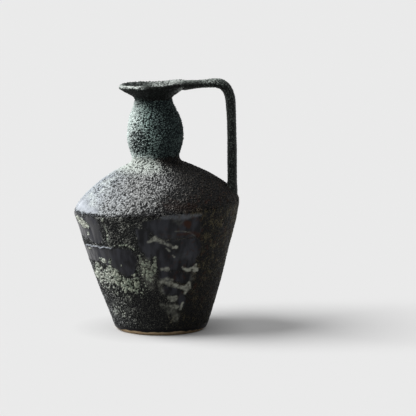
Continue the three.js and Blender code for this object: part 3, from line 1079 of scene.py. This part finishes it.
@dataclass
class NeckBulb(Turned):
    """The narrow neck with its bulb."""

    node: str = "neck_bulb"
    slot: str = "neck_glaze"
    spacing: float = 0.6
    around: int = 330
    crease_heights: Span = Span(209, 201)
    crease_side: Span = Span(76, 112)
    under_heights: Span = Span(259, 267)
    under_side: Span = Span(128, 155)
    dusk: Span = Span(122, 66)
    belly_heights: Span = Span(238, 224)
    belly_side: Span = Span(86, 128)
    belly_light: Span = Span(138, 162)
    lit_side: Span = Span(110, 160)
    highlight_side: Span = Span(96, 152)

    def outer(self) -> Array:
        """Neck line from the crease to the throat."""
        return SIZES.neck()

    def inner(self) -> Array:
        """The bore: the neck's line set in by the wall, its seam ends kept."""
        bore = beside(SIZES.neck(), SIZES.neck_wall)[4:-4][::-1]
        return np.concatenate([SIZES.dish_floor()[None], even(bore, 6), SIZES.dome_end()[None]])

    def coat(self, skin: Skin) -> Coating:
        """Teal crater glaze, pale green-white in the crease and as painted highlight on the lit side, with
        painted shadow under the mouth and painted shade away from the lamp.

        Args:
            skin: Where the points lie.

        Returns:
            The masks by name, and the lift in millimetres.
        """
        away, height = skin.away(), skin.height
        crease = self.crease_heights.of(height) * self.crease_side.of(away)
        # Painted shadow under the mouth's flare, and painted shade on the side turned from the lamp
        under = self.under_heights.of(height + 3.5 * Noise.FRINGE.at(skin.points))
        dark_and_shade = np.maximum(under * (0.75 - 0.3 * self.under_side.of(away)), 0.75 * self.dusk.of(away))
        belly = self.belly_heights.of(height) * (1 - crease) * self.belly_side.of(away)
        # Paler crest on the lit side: painted light; less pale where shade is painted
        cover = 0.14 * crease + 0.16 * self.lit_side.of(away) - 0.24 * dark_and_shade
        cover = cover - (0.36 - 0.2 * self.belly_light.of(away)) * belly
        # Pale green-white crest in the crease, and on the lit side as painted highlight
        mint_and_highlight = np.maximum(crease, 0.85 * self.highlight_side.of(away))
        return COAT.plain(skin.points, COAT.neck, cover, mint_and_highlight, dark_and_shade)


@dataclass
class MouthCollar(Turned):
    """The flared mouth: underside, lip and dish, all glazed."""

    node: str = "mouth_collar"
    slot: str = "mouth_glaze"
    spacing: float = 0.6
    around: int = 400
    lip_foot: float = 4.2
    lip_top: float = 1.6
    lip_side: Span = Span(90, 118)
    lip_dim: Span = Span(148, 168)
    far_gap: tuple[Span, Span] = (Span(95, 120), Span(176, 160))
    dish_rim: tuple[float, float] = (1, 4)
    dish_side: Span = Span(-60, -25)
    dish_far: Span = Span(112, 84)
    dish_end: Span = Span(160, 140)
    dish_heights: tuple[float, float] = (2, 6)
    joint_rise: float = 5
    joint_side: Span = Span(96, 130)

    def outer(self) -> Array:
        """Flare, lip and dish in one line."""
        return np.concatenate([SIZES.flare(), SIZES.lip()[1:], SIZES.dish()[1:]])

    def inner(self) -> Array:
        """The seam with the neck has no skin of its own."""
        return (SIZES.throat() - spot(1, 0.6))[None]

    def coat(self, skin: Skin) -> Coating:
        """Dark crater glaze, pale green-white on the lip and down the dish towards the handle as painted
        highlight where the lamp reaches; the rest takes the dark crest colour, painted shade and the glaze's
        own dark.

        Args:
            skin: Where the points lie.

        Returns:
            The masks by name, and the lift in millimetres.
        """
        s, height, bearing, side = SIZES, skin.height, skin.bearing, np.abs(skin.bearing)
        ragged = 1.2 * Noise.FRINGE.at(skin.points)
        # Pale green-white on the lip on the lamp's side: painted highlight
        lip = ease(height + ragged, s.rim_height - self.lip_foot, s.rim_height - self.lip_top)
        lip = lip * self.lip_side.of(side) * between(1.0, 0.85, self.lip_dim.of(side))
        lip = lip * (1 - 0.8 * self.far_gap[0].of(bearing) * self.far_gap[1].of(bearing))
        # Pale green-white down the dish's far inside wall, which the lamp reaches: painted highlight
        (rim, floor), (low, high) = self.dish_rim, self.dish_heights
        inside = ease(skin.radius + 0.6 * (height - s.rim_height), s.rim_radius - rim, s.rim_radius - floor)
        far = between(self.dish_far.of(bearing), 1.0, 0.5 * self.dish_end.of(bearing))
        far = self.dish_side.of(bearing) * far
        slope = ease(height, s.throat_height + low, s.rim_height - high) * far
        mint_and_highlight = np.maximum(lip, 0.8 * slope * inside)
        joint = ease(height + 2 * ragged, s.throat_height + self.joint_rise, s.throat_height)
        joint = joint * self.joint_side.of(side)
        cover = 0.35 * mint_and_highlight + 0.1 * lip + 0.3 * joint
        # Everything else takes the dark crest colour: painted shade and the glaze's own dark
        return COAT.plain(skin.points, COAT.mouth, cover, mint_and_highlight, (1 - mint_and_highlight) * (1 - 0.6 * joint))


@dataclass
class FootSlab(Piece):
    """The slab foot: bare clay where it was wiped, glaze above.

    Each run of glaze gives its bearing, how far down it came and how far off it fades.
    """

    node: str = "base_slab"
    slot: str = "bare_clay"
    around: int = 420
    edge_round: float = 0.7
    middle: tuple[float, float] = (0.66, 0.45)
    core: float = 0.4
    glaze_edge: Span = Span(3.7, 4.5)
    runs: tuple[tuple[float, float, Span], ...] = ((-165, 2.0, Span(38, 8)), (-12, 1.3, Span(32, 8)))
    swollen_heights: Span = Span(0.2, 1.2)
    swollen_radii: Span = Span(45, 48)
    grain_lift: float = 0.25
    glaze_lift: float = 0.3

    def build(self) -> bpy.types.Object:
        """Turns the slab's outline and lays the glaze's lower edge and a faint swelling on its side.

        Returns:
            The piece.
        """
        s = SIZES
        across, along = self.middle
        low = spot(s.foot_radius, self.edge_round)
        middle = spot(between(s.foot_radius, s.slab_radius, across), along * s.slab_height)
        side = even(np.stack([low, middle, s.foot()]), 0.5)
        under = even(np.stack([spot(self.core, 0), spot(s.foot_radius - self.edge_round, 0)]), 4)
        high = s.slab_height + 0.1
        top = even(np.stack([spot(s.slab_radius - 0.3, high), spot(self.core, high)]), 6)
        skin = thrown(np.concatenate([under, side, top]), self.around)
        grid, turn, height = skin.points, skin.bearing, skin.height
        lower = sum(drop * reach.of(np.abs(turn - middle)) for middle, drop, reach in self.runs)
        glaze = self.glaze_edge.of(height + 0.9 * Noise.CLAY_EDGE.at(grid) + lower)
        grain = COAT.wall.grain(grid, COAT.wall_seed)
        lift = (self.grain_lift * (grain - 0.5) + self.glaze_lift) * glaze
        lift = lift * self.swollen_heights.of(height) * self.swollen_radii.of(skin.radius)
        masks = dict.fromkeys(Mask, np.zeros_like(grain)) | {Mask.CREST: grain, Mask.POOL: glaze}
        return self.dress(grid + lift[..., None] * outward(grid, False), False, masks)


@dataclass
class Handle(Piece):
    """The pulled strap: a squared oval carried along an arm, an elbow and a post."""

    node: str = "handle_strap"
    slot: str = "handle_glaze"
    width: float = 21.0
    root_width: float = 24.4
    foot_width: float = 26.9
    squareness: float = 2.3
    arm: float = 9.0
    elbow: float = 11.2
    post: float = 10.6
    arm_rise: float = 2.3
    arm_sag: float = 1.6
    elbow_reach: float = 21.0
    elbow_drop: float = 21.7
    elbow_setback: float = 2.0
    post_inset: float = 12.9
    spread_width: float = 11.0
    spread_reach: float = 26.0
    spread_drop: float = 1.5
    spread_rise: float = 1.2
    root_taper: float = 9.0
    foot_rise: float = 9.0
    foot_sink: float = 9.0
    fillet: float = 8.0
    sides: int = 104
    spacing: float = 0.6
    root_tail: Span = Span(0.03, 0.16)
    root_thin: Span = Span(0.0, 0.07)
    foot_flare: Span = Span(0.84, 0.94)
    top_side: Span = Span(-0.6, 0.4)
    top_slope: Span = Span(-0.5, 0.1)
    root_reach: Span = Span(62, 42)
    highlight_reach: Span = Span(86, 58)
    dim_reach: Span = Span(52, 34)
    dome_slide: float = -5.6
    dome_tilt: float = 2.6

    def middle(self) -> tuple[Array, float]:
        """Middle line in the upright plane of the handle, and the share of it at the elbow's middle.

        Returns:
            Points of X and Z in millimetres, and the share.
        """
        s = SIZES
        level = s.rim_height + self.arm_rise
        place = s.turn_radius - self.post_inset
        foot = spot(place, s.turn_height + self.foot_rise)
        root = spot(s.throat_radius - s.mouth_wall, level - 2.4 * self.arm_sag)
        start = spot(place - self.elbow_reach, level)
        end = spot(place - self.elbow_setback, level - self.elbow_drop)
        arm = bend(root, spot(0.6 * start[0], level - self.arm_sag), start)
        turn = bend(
            start, start + spot(0.57 * self.elbow_reach, self.arm_sag / 4),
            spot(end[0] - 0.6 * self.elbow_setback, level - self.elbow_drop / 3), end,
        )
        down = bend(
            end, spot(place - self.elbow_setback / 5, end[1] - self.elbow_drop),
            spot(place, between(foot[1], level, 0.4)), foot,
        )
        line = np.concatenate([arm, turn[1:], down[1:], foot[None] - spot(0, self.foot_sink)])
        share = (lengths(arm)[-1] + 0.5 * lengths(turn)[-1]) / lengths(line)[-1]
        return even(line, self.spacing), share

    def section(self, line: Array, share: float) -> tuple[Array, Array, Array]:
        """Squared oval at each point of the middle line, spread where it joins the lip.

        Its sine and cosine are raised to 2 over the squareness, and its width and thickness
        step between the arm, the elbow, the post and the two flared ends.

        Args:
            line: The middle line.
            share: Share of its length at the elbow's middle.

        Returns:
            The share of the height at each side, and how far each point lies across and up.
        """
        along = np.linspace(0, 1, len(line))[:, None]
        arm_part = 1 - ease(along, share / 2, share)
        post_part = ease(along, share, share * 1.6)
        thick = self.elbow + (self.arm - self.elbow) * arm_part + (self.post - self.elbow) * post_part
        width = self.width + (self.root_width - self.width) * (1 - self.root_tail.of(along))
        width = width + (self.foot_width - self.width) * self.foot_flare.of(along)
        thick = thick * (self.width + width) / (2 * self.width) * between(0.35, 1.0, self.root_thin.of(along))
        rim = SIZES.rim_radius + SETTLING.rim_slide()
        spread = (rim + 0.7 * self.spread_reach - line[:, :1]) / self.spread_reach
        spread = np.clip(spread, 0, 1) ** 2.2 * (along < 0.5)
        angle = np.linspace(0, 2 * math.pi, self.sides, endpoint=False)[None]
        waves = (np.sin(angle), np.cos(angle))
        side, flat = (np.sign(wave) * np.abs(wave) ** (2 / self.squareness) for wave in waves)
        width = width + spread * between(-self.root_taper, self.spread_width, ease(side, -0.9, 0.3))
        drop = self.spread_rise * ease(side, 0.0, 0.8) - self.spread_drop * ease(side, 0.6, -0.6)
        return side, flat * width / 2, side * thick / 2 + spread * drop

    def fillet_lift(self, grid: Array, normal: Array) -> Array:
        """How far the post's foot swells out to meet the dome: a quarter round over the fillet's reach.

        Args:
            grid: Points of the strap.
            normal: Their unit normals.

        Returns:
            Lift in millimetres.
        """
        dome = SIZES.dome()[::-1]
        radius = np.hypot(grid[..., 0] - self.dome_slide, grid[..., 1])
        ground = np.interp(radius, dome[:, 0], dome[:, 1])
        ground = ground + grid[..., 0] * math.tan(math.radians(self.dome_tilt))
        lower = np.linspace(0, 1, len(grid))[:, None] > 0.6
        close = np.clip(1 - (grid[..., 2] - ground) / self.fillet, 0, 1) * lower
        return self.fillet * (1 - np.sqrt(1 - 0.96 * close ** 2)) * 0.55 * ease(normal[..., 0], 0.6, 0.0)

    def build(self) -> bpy.types.Object:
        """Carries the section along the middle line, swells its foot and lays the glaze.

        Returns:
            The piece.
        """
        line, share = self.middle()
        way = np.gradient(line, axis=0)
        way /= np.linalg.norm(way, axis=1)[:, None]
        side, across, up = self.section(line, share)
        grid = np.stack([line[:, :1] - way[:, 1:] * up, across, line[:, 1:] + way[:, :1] * up], -1)
        normal = outward(grid, False)
        grid = grid + self.fillet_lift(grid, normal)[..., None] * normal
        x = grid[..., 0]
        # Pale green-white on the strap's upward faces: painted light; darker under the arm near its root:
        # painted shade
        top = self.top_side.of(side - 0.8 * self.root_reach.of(x)) * self.top_slope.of(normal[..., 2])
        mint_and_highlight = 0.7 * top * self.highlight_reach.of(x)
        dim = self.dim_reach.of(x) * (1 - top)
        masks, lift = COAT.plain(grid, COAT.strap, 0.24 * mint_and_highlight - 0.3 * dim, mint_and_highlight, 1 - mint_and_highlight)
        lift = lift + COAT.wobble(grid)
        return self.dress(grid + lift[..., None] * normal, False, masks)


# Finishes

Grading = tuple[float, float, float, float]  # noise from and to, share from and to
GLASS_IOR = 1.5


def add_node(tree: Tree, kind: str, links: dict | None = None, **settings: object) -> bpy.types.Node:
    """Adds a node with its settings and links.

    Args:
        tree: Where it goes.
        kind: Blender's name of the node type.
        links: Input name or number to an output socket, or to a plain value.
        settings: Properties set on the node.

    Returns:
        The node.
    """
    node = tree.nodes.new(kind)
    for name, value in settings.items():
        setattr(node, name, value)
    for name, value in (links or {}).items():
        socket = node.inputs[name]
        if isinstance(value, bpy.types.NodeSocket):
            tree.links.new(value, socket)
        else:
            socket.default_value = value
    return node


def empty_material(name: str) -> tuple[bpy.types.Material, Tree]:
    """New material and its node tree, emptied.

    Args:
        name: Name of the finish.

    Returns:
        The material and the tree.
    """
    made = bpy.data.materials.new(name)
    made.use_nodes = True
    made.node_tree.nodes.clear()
    return made, made.node_tree


@dataclass(frozen=True)
class CraterGlaze:
    """Stoneware glaze that blistered in the fire: pale rough crests over dark pits, glossy where it pooled.

    The crests are dry and scatter light, so they look chalky. The pits and pools are glass, dark
    and wet-looking, and the pools mirror the lamp; their grey veil on the lit side and their pale drip
    streaks are painted reflection. Bloom is milky glass that floated to the top of a pool, painted paler
    by the lamp as a stand-in for its reflection, and its colour also paints sheen lines. Darker copies
    of the colours away from the lamp are painted shade, and pale green-white crests on lit places are
    painted highlight. Rust is iron that broke through.
    """

    name: str
    pit: str = "131416"
    crest: str = "C6C9C8"
    # Crest colour on the side turned from the lamp: a darker copy, painted shade
    shade_side: str = "B0B2A8"
    # Pale green-white crest: the crease's own colour, and painted highlight on lit places
    mint_and_highlight: str = "E6EEE7"
    # Dark crest colour: painted shade, and on the mouth and handle partly the glaze's own dark
    dark_and_shade: str = "6C654F"
    crust_pit: str = "272A24"
    crust: str = "F6FBEE"
    # Crust colour on the side turned from the lamp: a darker copy, painted shade
    shaded_crust: str = "BEC6B0"
    lichen: str = "5E7569"
    gloss: str = "1D1D20"
    # Pale drip streaks in the pools: painted reflection
    streak_reflection: str = "404147"
    # Grey veil on the pools on the lit side: painted reflection
    pool_reflection: str = "5F5F61"
    chalk: str = "CCCEC0"
    # Milky glaze colour, which also paints sheen lines and the run's edge highlight
    bloom_and_sheen: str = "DAE1EA"
    rust: str = "452A1F"
    fine: float = 1.2
    fleck: float = 0.85
    clump: float = 4.0
    runs: float = 8.0
    run_squash: float = 0.28
    drips: Grading = (0.4, 0.62, 0.0, 1.0)
    flecks: Grading = (0.38, 0.62, 0.72, 1.2)
    lichens: Grading = (0.54, 0.4, 0.0, 0.55)
    bump: float = 1.3
    rough: float = 0.46
    wet: float = 0.22
    sheen: float = 0.08

    def material(self) -> bpy.types.Material:
        """Node material of this glaze: each mask lays its own colour over the ones below.

        Returns:
            The material.
        """
        made, tree = empty_material(self.name)
        place = add_node(tree, "ShaderNodeTexCoord").outputs["Object"]
        level = {}
        for mask in Mask:
            level[mask] = add_node(tree, "ShaderNodeAttribute", attribute_name=mask.value).outputs["Fac"]
        down = add_node(tree, "ShaderNodeMapping", {"Vector": place, "Scale": (1.0, 1.0, self.run_squash)})
        noises = []
        for vector, size, detail in (
            (place, self.fine, 3.0), (down.outputs[0], self.runs, 2.0),
            (place, self.fleck, 2.0), (place, self.clump, 3.0),
        ):
            links = {"Vector": vector, "Scale": 1 / (size * MM), "Detail": detail}
            noises.append(add_node(tree, "ShaderNodeTexNoise", links).outputs["Fac"])
        grit = noises[0]
        ranges = []
        for noise, (start, end, low, high) in zip(noises[1:], (self.drips, self.flecks, self.lichens)):
            links = {"Value": noise, "From Min": start, "From Max": end, "To Min": low, "To Max": high}
            ranges.append(add_node(tree, "ShaderNodeMapRange", links).outputs["Result"])
        drip, bright, dull = ranges
        speck = add_node(tree, "ShaderNodeMath", {0: grit, 1: 1.6, 2: -0.8}, operation="MULTIPLY_ADD")
        links = {0: level[Mask.CREST], 1: speck.outputs[0]}
        share = add_node(tree, "ShaderNodeMath", links, use_clamp=True).outputs[0]
        mixed: dict[str, bpy.types.NodeSocket] = {}
        # Darker copies of the crest, crust and pool colours away from the lamp are painted shade; the pools'
        # grey veil and drip streaks are painted reflection
        for name, part, below, over, blend in (
            ("crests", level[Mask.SHADE_SIDE], self.crest, self.shade_side, "MIX"),
            ("crests", level[Mask.MINT_AND_HIGHLIGHT], "crests", self.mint_and_highlight, "MIX"),
            ("crests", level[Mask.SMOKE], "crests", self.dark_and_shade, "MIX"),
            ("crests", 1.0, "crests", bright, "MULTIPLY"),
            ("lumps", level[Mask.SHADE_SIDE], self.crust, self.shaded_crust, "MIX"),
            ("lumps", dull, "lumps", self.lichen, "MIX"),
            ("lumps", share, self.crust_pit, "lumps", "MIX"),
            ("pools", level[Mask.SHADE_SIDE], self.pool_reflection, self.gloss, "MIX"),
            ("pools", drip, "pools", self.streak_reflection, "MIX"),
            ("glaze", share, self.pit, "crests", "MIX"),
            ("glaze", level[Mask.CRUST], "glaze", "lumps", "MIX"),
            ("glaze", level[Mask.POOL], "glaze", "pools", "MIX"),
            ("glaze", level[Mask.CHALK], "glaze", self.chalk, "MIX"),
            ("glaze", level[Mask.BLOOM], "glaze", self.bloom_and_sheen, "MIX"),
            ("glaze", level[Mask.RUST], "glaze", self.rust, "MIX"),
        ):
            links = {0: part, 6: below, 7: over}
            for socket, end in ((6, below), (7, over)):
                if isinstance(end, str):
                    links[socket] = mixed[end] if end in mixed else linear(end)
            laid = add_node(tree, "ShaderNodeMix", links, data_type="RGBA", blend_type=blend)
            mixed[name] = laid.outputs[2]
        gloss = add_node(tree, "ShaderNodeMix", {0: level[Mask.POOL], 2: self.rough, 3: self.wet}).outputs[0]
        dry = add_node(tree, "ShaderNodeMath", {0: 1.0, 1: level[Mask.POOL]}, operation="SUBTRACT").outputs[0]
        relief = add_node(tree, "ShaderNodeMath", {0: grit, 1: dry}, operation="MULTIPLY").outputs[0]
        links = {"Height": relief, "Strength": 1.0, "Distance": self.bump * MM}
        bump = add_node(tree, "ShaderNodeBump", links)
        shader = add_node(tree, "ShaderNodeBsdfPrincipled", {
            "Base Color": mixed["glaze"], "Roughness": gloss, "Normal": bump.outputs[0], "IOR": GLASS_IOR,
            "Specular IOR Level": self.sheen,
        })
        add_node(tree, "ShaderNodeOutputMaterial", {"Surface": shader.outputs[0]})
        return made


@dataclass(frozen=True)
class BareStoneware:
    """Unglazed stoneware, wiped with a sponge: tan, dry and sandy, darker where glaze ran onto it."""

    name: str = "bare_stoneware"
    clay: str = "F0D5AE"
    grog: str = "BE9466"
    gloss: str = "141416"
    grit: float = 0.9
    stain: float = 11.0
    sheen: float = 0.08
    sandy: Grading = (0.5, 0.8, 0.0, 1.0)
    cloudy: Grading = (0.45, 0.95, 0.0, 1.0)
    rough: float = 0.88
    wet: float = 0.4
    bump: float = 0.3

    def material(self) -> bpy.types.Material:
        """Node material of the clay, with the glaze's lower edge over it.

        Returns:
            The material.
        """
        made, tree = empty_material(self.name)
        place = add_node(tree, "ShaderNodeTexCoord").outputs["Object"]
        glaze = add_node(tree, "ShaderNodeAttribute", attribute_name=Mask.POOL.value).outputs["Fac"]
        colour: object = linear(self.clay)
        noises = []
        for size, (start, end, low, high) in ((self.grit, self.sandy), (self.stain, self.cloudy)):
            links = {"Vector": place, "Scale": 1 / (size * MM), "Detail": 3.0}
            noises.append(add_node(tree, "ShaderNodeTexNoise", links).outputs["Fac"])
            links = {"Value": noises[-1], "From Min": start, "From Max": end, "To Min": low, "To Max": high}
            share = add_node(tree, "ShaderNodeMapRange", links).outputs["Result"]
            links = {0: share, 6: colour, 7: linear(self.grog)}
            colour = add_node(tree, "ShaderNodeMix", links, data_type="RGBA").outputs[2]
        links = {0: glaze, 6: colour, 7: linear(self.gloss)}
        colour = add_node(tree, "ShaderNodeMix", links, data_type="RGBA").outputs[2]
        rough = add_node(tree, "ShaderNodeMix", {0: glaze, 2: self.rough, 3: self.wet}).outputs[0]
        links = {"Height": noises[0], "Strength": 0.5, "Distance": self.bump * MM}
        bump = add_node(tree, "ShaderNodeBump", links)
        shader = add_node(tree, "ShaderNodeBsdfPrincipled", {
            "Base Color": colour, "Roughness": rough, "Normal": bump.outputs[0], "IOR": GLASS_IOR,
            "Specular IOR Level": self.sheen,
        })
        add_node(tree, "ShaderNodeOutputMaterial", {"Surface": shader.outputs[0]})
        return made


# Studio


@dataclass(frozen=True)
class Studio:
    """Plain pale floor, one large soft lamp from the left, and the photograph's point of view.

    The camera looks along +Y from its distance and elevation at a point in the object's own frame.
    """

    pale: str = "EAEAEA"
    floor_colour: str = "E7E7E7"
    floor_bounce: str = "9C9C9C"
    contact: float = 0.05
    # Share of the paper that glows, which lightens the pot's shadow on it: painted light
    painted_haze: float = 0.3
    floor_reach: float = 40.0
    key_strength: float = 4.0
    key_elevation: float = 48.0
    key_bearing: float = 184.0
    key_angle: float = 43.0
    fill_strength: float = 0.085
    camera_distance: float = 3.1
    camera_elevation: float = 8.1
    camera_bearing: float = -90.0
    camera_target: tuple[float, float, float] = (0.0545, 0.0, 0.1398)
    lens: float = 233.0
    sensor: float = 36.0

    def looked_at(self, tree: Tree) -> bpy.types.NodeSocket:
        """Share of 1 for rays from the camera, a mirror or clear glass, which see the pale background.

        Args:
            tree: Where the nodes go.

        Returns:
            The share's socket.
        """
        rays = add_node(tree, "ShaderNodeLightPath").outputs
        share = rays["Is Camera Ray"]
        for other in ("Is Glossy Ray", "Is Transmission Ray"):
            links = {0: share, 1: rays[other]}
            share = add_node(tree, "ShaderNodeMath", links, operation="MAXIMUM").outputs[0]
        return share

    def floor(self) -> None:
        """Large level sheet under the foot, seen as pale paper but throwing less light back up; a share of it
        glows, which lightens the pot's shadow on it, and the glow dims near the foot as painted contact
        shade.
        """
        mesh = bpy.data.meshes.new("floor")
        corners = self.floor_reach * np.array([(-1, -1, 0), (1, -1, 0), (1, 1, 0), (-1, 1, 0)])
        mesh.from_pydata(corners.tolist(), [], [(0, 1, 2, 3)])
        made, tree = empty_material("seamless_paper")
        seen = self.looked_at(tree)
        paper = add_node(tree, "ShaderNodeBsdfDiffuse", {"Color": linear(self.floor_colour)}).outputs[0]
        # The glow dims where the pot closes off the sky, near its foot: painted contact shade
        open_sky = add_node(tree, "ShaderNodeAmbientOcclusion", {"Distance": self.contact}).outputs["AO"]
        links = {"Color": linear(self.pale), "Strength": open_sky}
        glow = add_node(tree, "ShaderNodeEmission", links).outputs[0]
        dull = add_node(tree, "ShaderNodeBsdfDiffuse", {"Color": linear(self.floor_bounce)}).outputs[0]
        hazy = add_node(tree, "ShaderNodeMixShader", {0: self.painted_haze, 1: paper, 2: glow}).outputs[0]
        sheet_shader = add_node(tree, "ShaderNodeMixShader", {0: seen, 1: dull, 2: hazy}).outputs[0]
        add_node(tree, "ShaderNodeOutputMaterial", {"Surface": sheet_shader})
        mesh.materials.append(made)
        sheet = bpy.data.objects.new("floor", mesh)
        bpy.context.scene.collection.objects.link(sheet)

    def aimed(self, data: bpy.types.ID, elevation: float, bearing: float) -> bpy.types.Object:
        """Lamp or camera that looks at the target from the camera's distance.

        Args:
            data: The lamp or camera.
            elevation: Degrees above the floor.
            bearing: Degrees about the upright axis.

        Returns:
            Its object, in the scene.
        """
        level, turn = math.radians(elevation), math.radians(bearing)
        back = Vector((math.cos(level) * math.cos(turn), math.cos(level) * math.sin(turn), math.sin(level)))
        made = bpy.data.objects.new(data.name, data)
        made.location = Vector(self.camera_target) + back * self.camera_distance
        made.rotation_mode = "QUATERNION"
        made.rotation_quaternion = back.to_track_quat("Z", "Y")
        bpy.context.scene.collection.objects.link(made)
        return made

    def lamps(self) -> None:
        """Soft key lamp, far off, and a dim even world that a camera or mirror sees as pale paper."""
        key = bpy.data.lights.new("key", "SUN")
        key.energy = self.key_strength
        key.angle = math.radians(self.key_angle)
        self.aimed(key, self.key_elevation, self.key_bearing)
        world = bpy.data.worlds.new("studio")
        world.use_nodes = True
        tree = world.node_tree
        tree.nodes.clear()
        links = {0: self.looked_at(tree)}
        for place, colour, strength in ((1, "FFFFFF", self.fill_strength), (2, self.pale, 1.0)):
            light = add_node(tree, "ShaderNodeBackground", {"Color": linear(colour), "Strength": strength})
            links[place] = light.outputs[0]
        seen = add_node(tree, "ShaderNodeMixShader", links)
        add_node(tree, "ShaderNodeOutputWorld", {"Surface": seen.outputs[0]})
        bpy.context.scene.world = world

    def camera(self) -> None:
        """Camera at the photograph's viewing angle."""
        data = bpy.data.cameras.new("camera")
        data.lens = self.lens
        data.sensor_width = self.sensor
        data.clip_end = 5 * self.floor_reach
        bpy.context.scene.camera = self.aimed(data, self.camera_elevation, self.camera_bearing)


def main() -> None:
    """Builds the studio and the pot, piece by piece, and logs how many points each dressed piece has."""
    scene = bpy.context.scene
    scene.view_settings.view_transform = "Standard"
    studio = Studio()
    studio.floor()
    studio.lamps()
    studio.camera()
    finishes = (
        BareStoneware(),
        CraterGlaze("black_gloss_glaze"),
        CraterGlaze("lavender_crater_glaze", pit="17181A", crest="D0D8DF", shade_side="CACCCB", dark_and_shade="6E6353"),
        CraterGlaze("teal_crater_glaze", pit="172023", crest="C2DED7", mint_and_highlight="F2FDF9", dark_and_shade="2F3D41"),
        # Dark glaze of the mouth, which carries painted shade and painted highlight
        CraterGlaze("shaded_dark_crater_glaze", pit="0F1110", crest="6A7A75", mint_and_highlight="EDF4EF", dark_and_shade="333735"),
        CraterGlaze("charcoal_crater_glaze", pit="171918", crest="6A7A75", dark_and_shade="636A64"),
    )
    clay, body, shoulder, neck, mouth, dark = (finish.material() for finish in finishes)
    dressed = (
        (FootSlab(), clay), (ConeWall(), body), (ShoulderDome(), shoulder), (Crease(), shoulder),
        (NeckBulb(), neck), (MouthCollar(), mouth), (Handle(), dark),
    )
    for maker, material in dressed:
        piece = maker.build()
        piece.data.materials.append(material)
        log.info("%s: %d points", piece.name, len(piece.data.vertices))
    for node in ("base_seam_coil", "turn_seam_coil"):
        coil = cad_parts[node]
        coil.data.materials.clear()
        coil.data.materials.append(clay)
        log.info("%s: dressed", node)


if __name__ == "__main__":
    main()
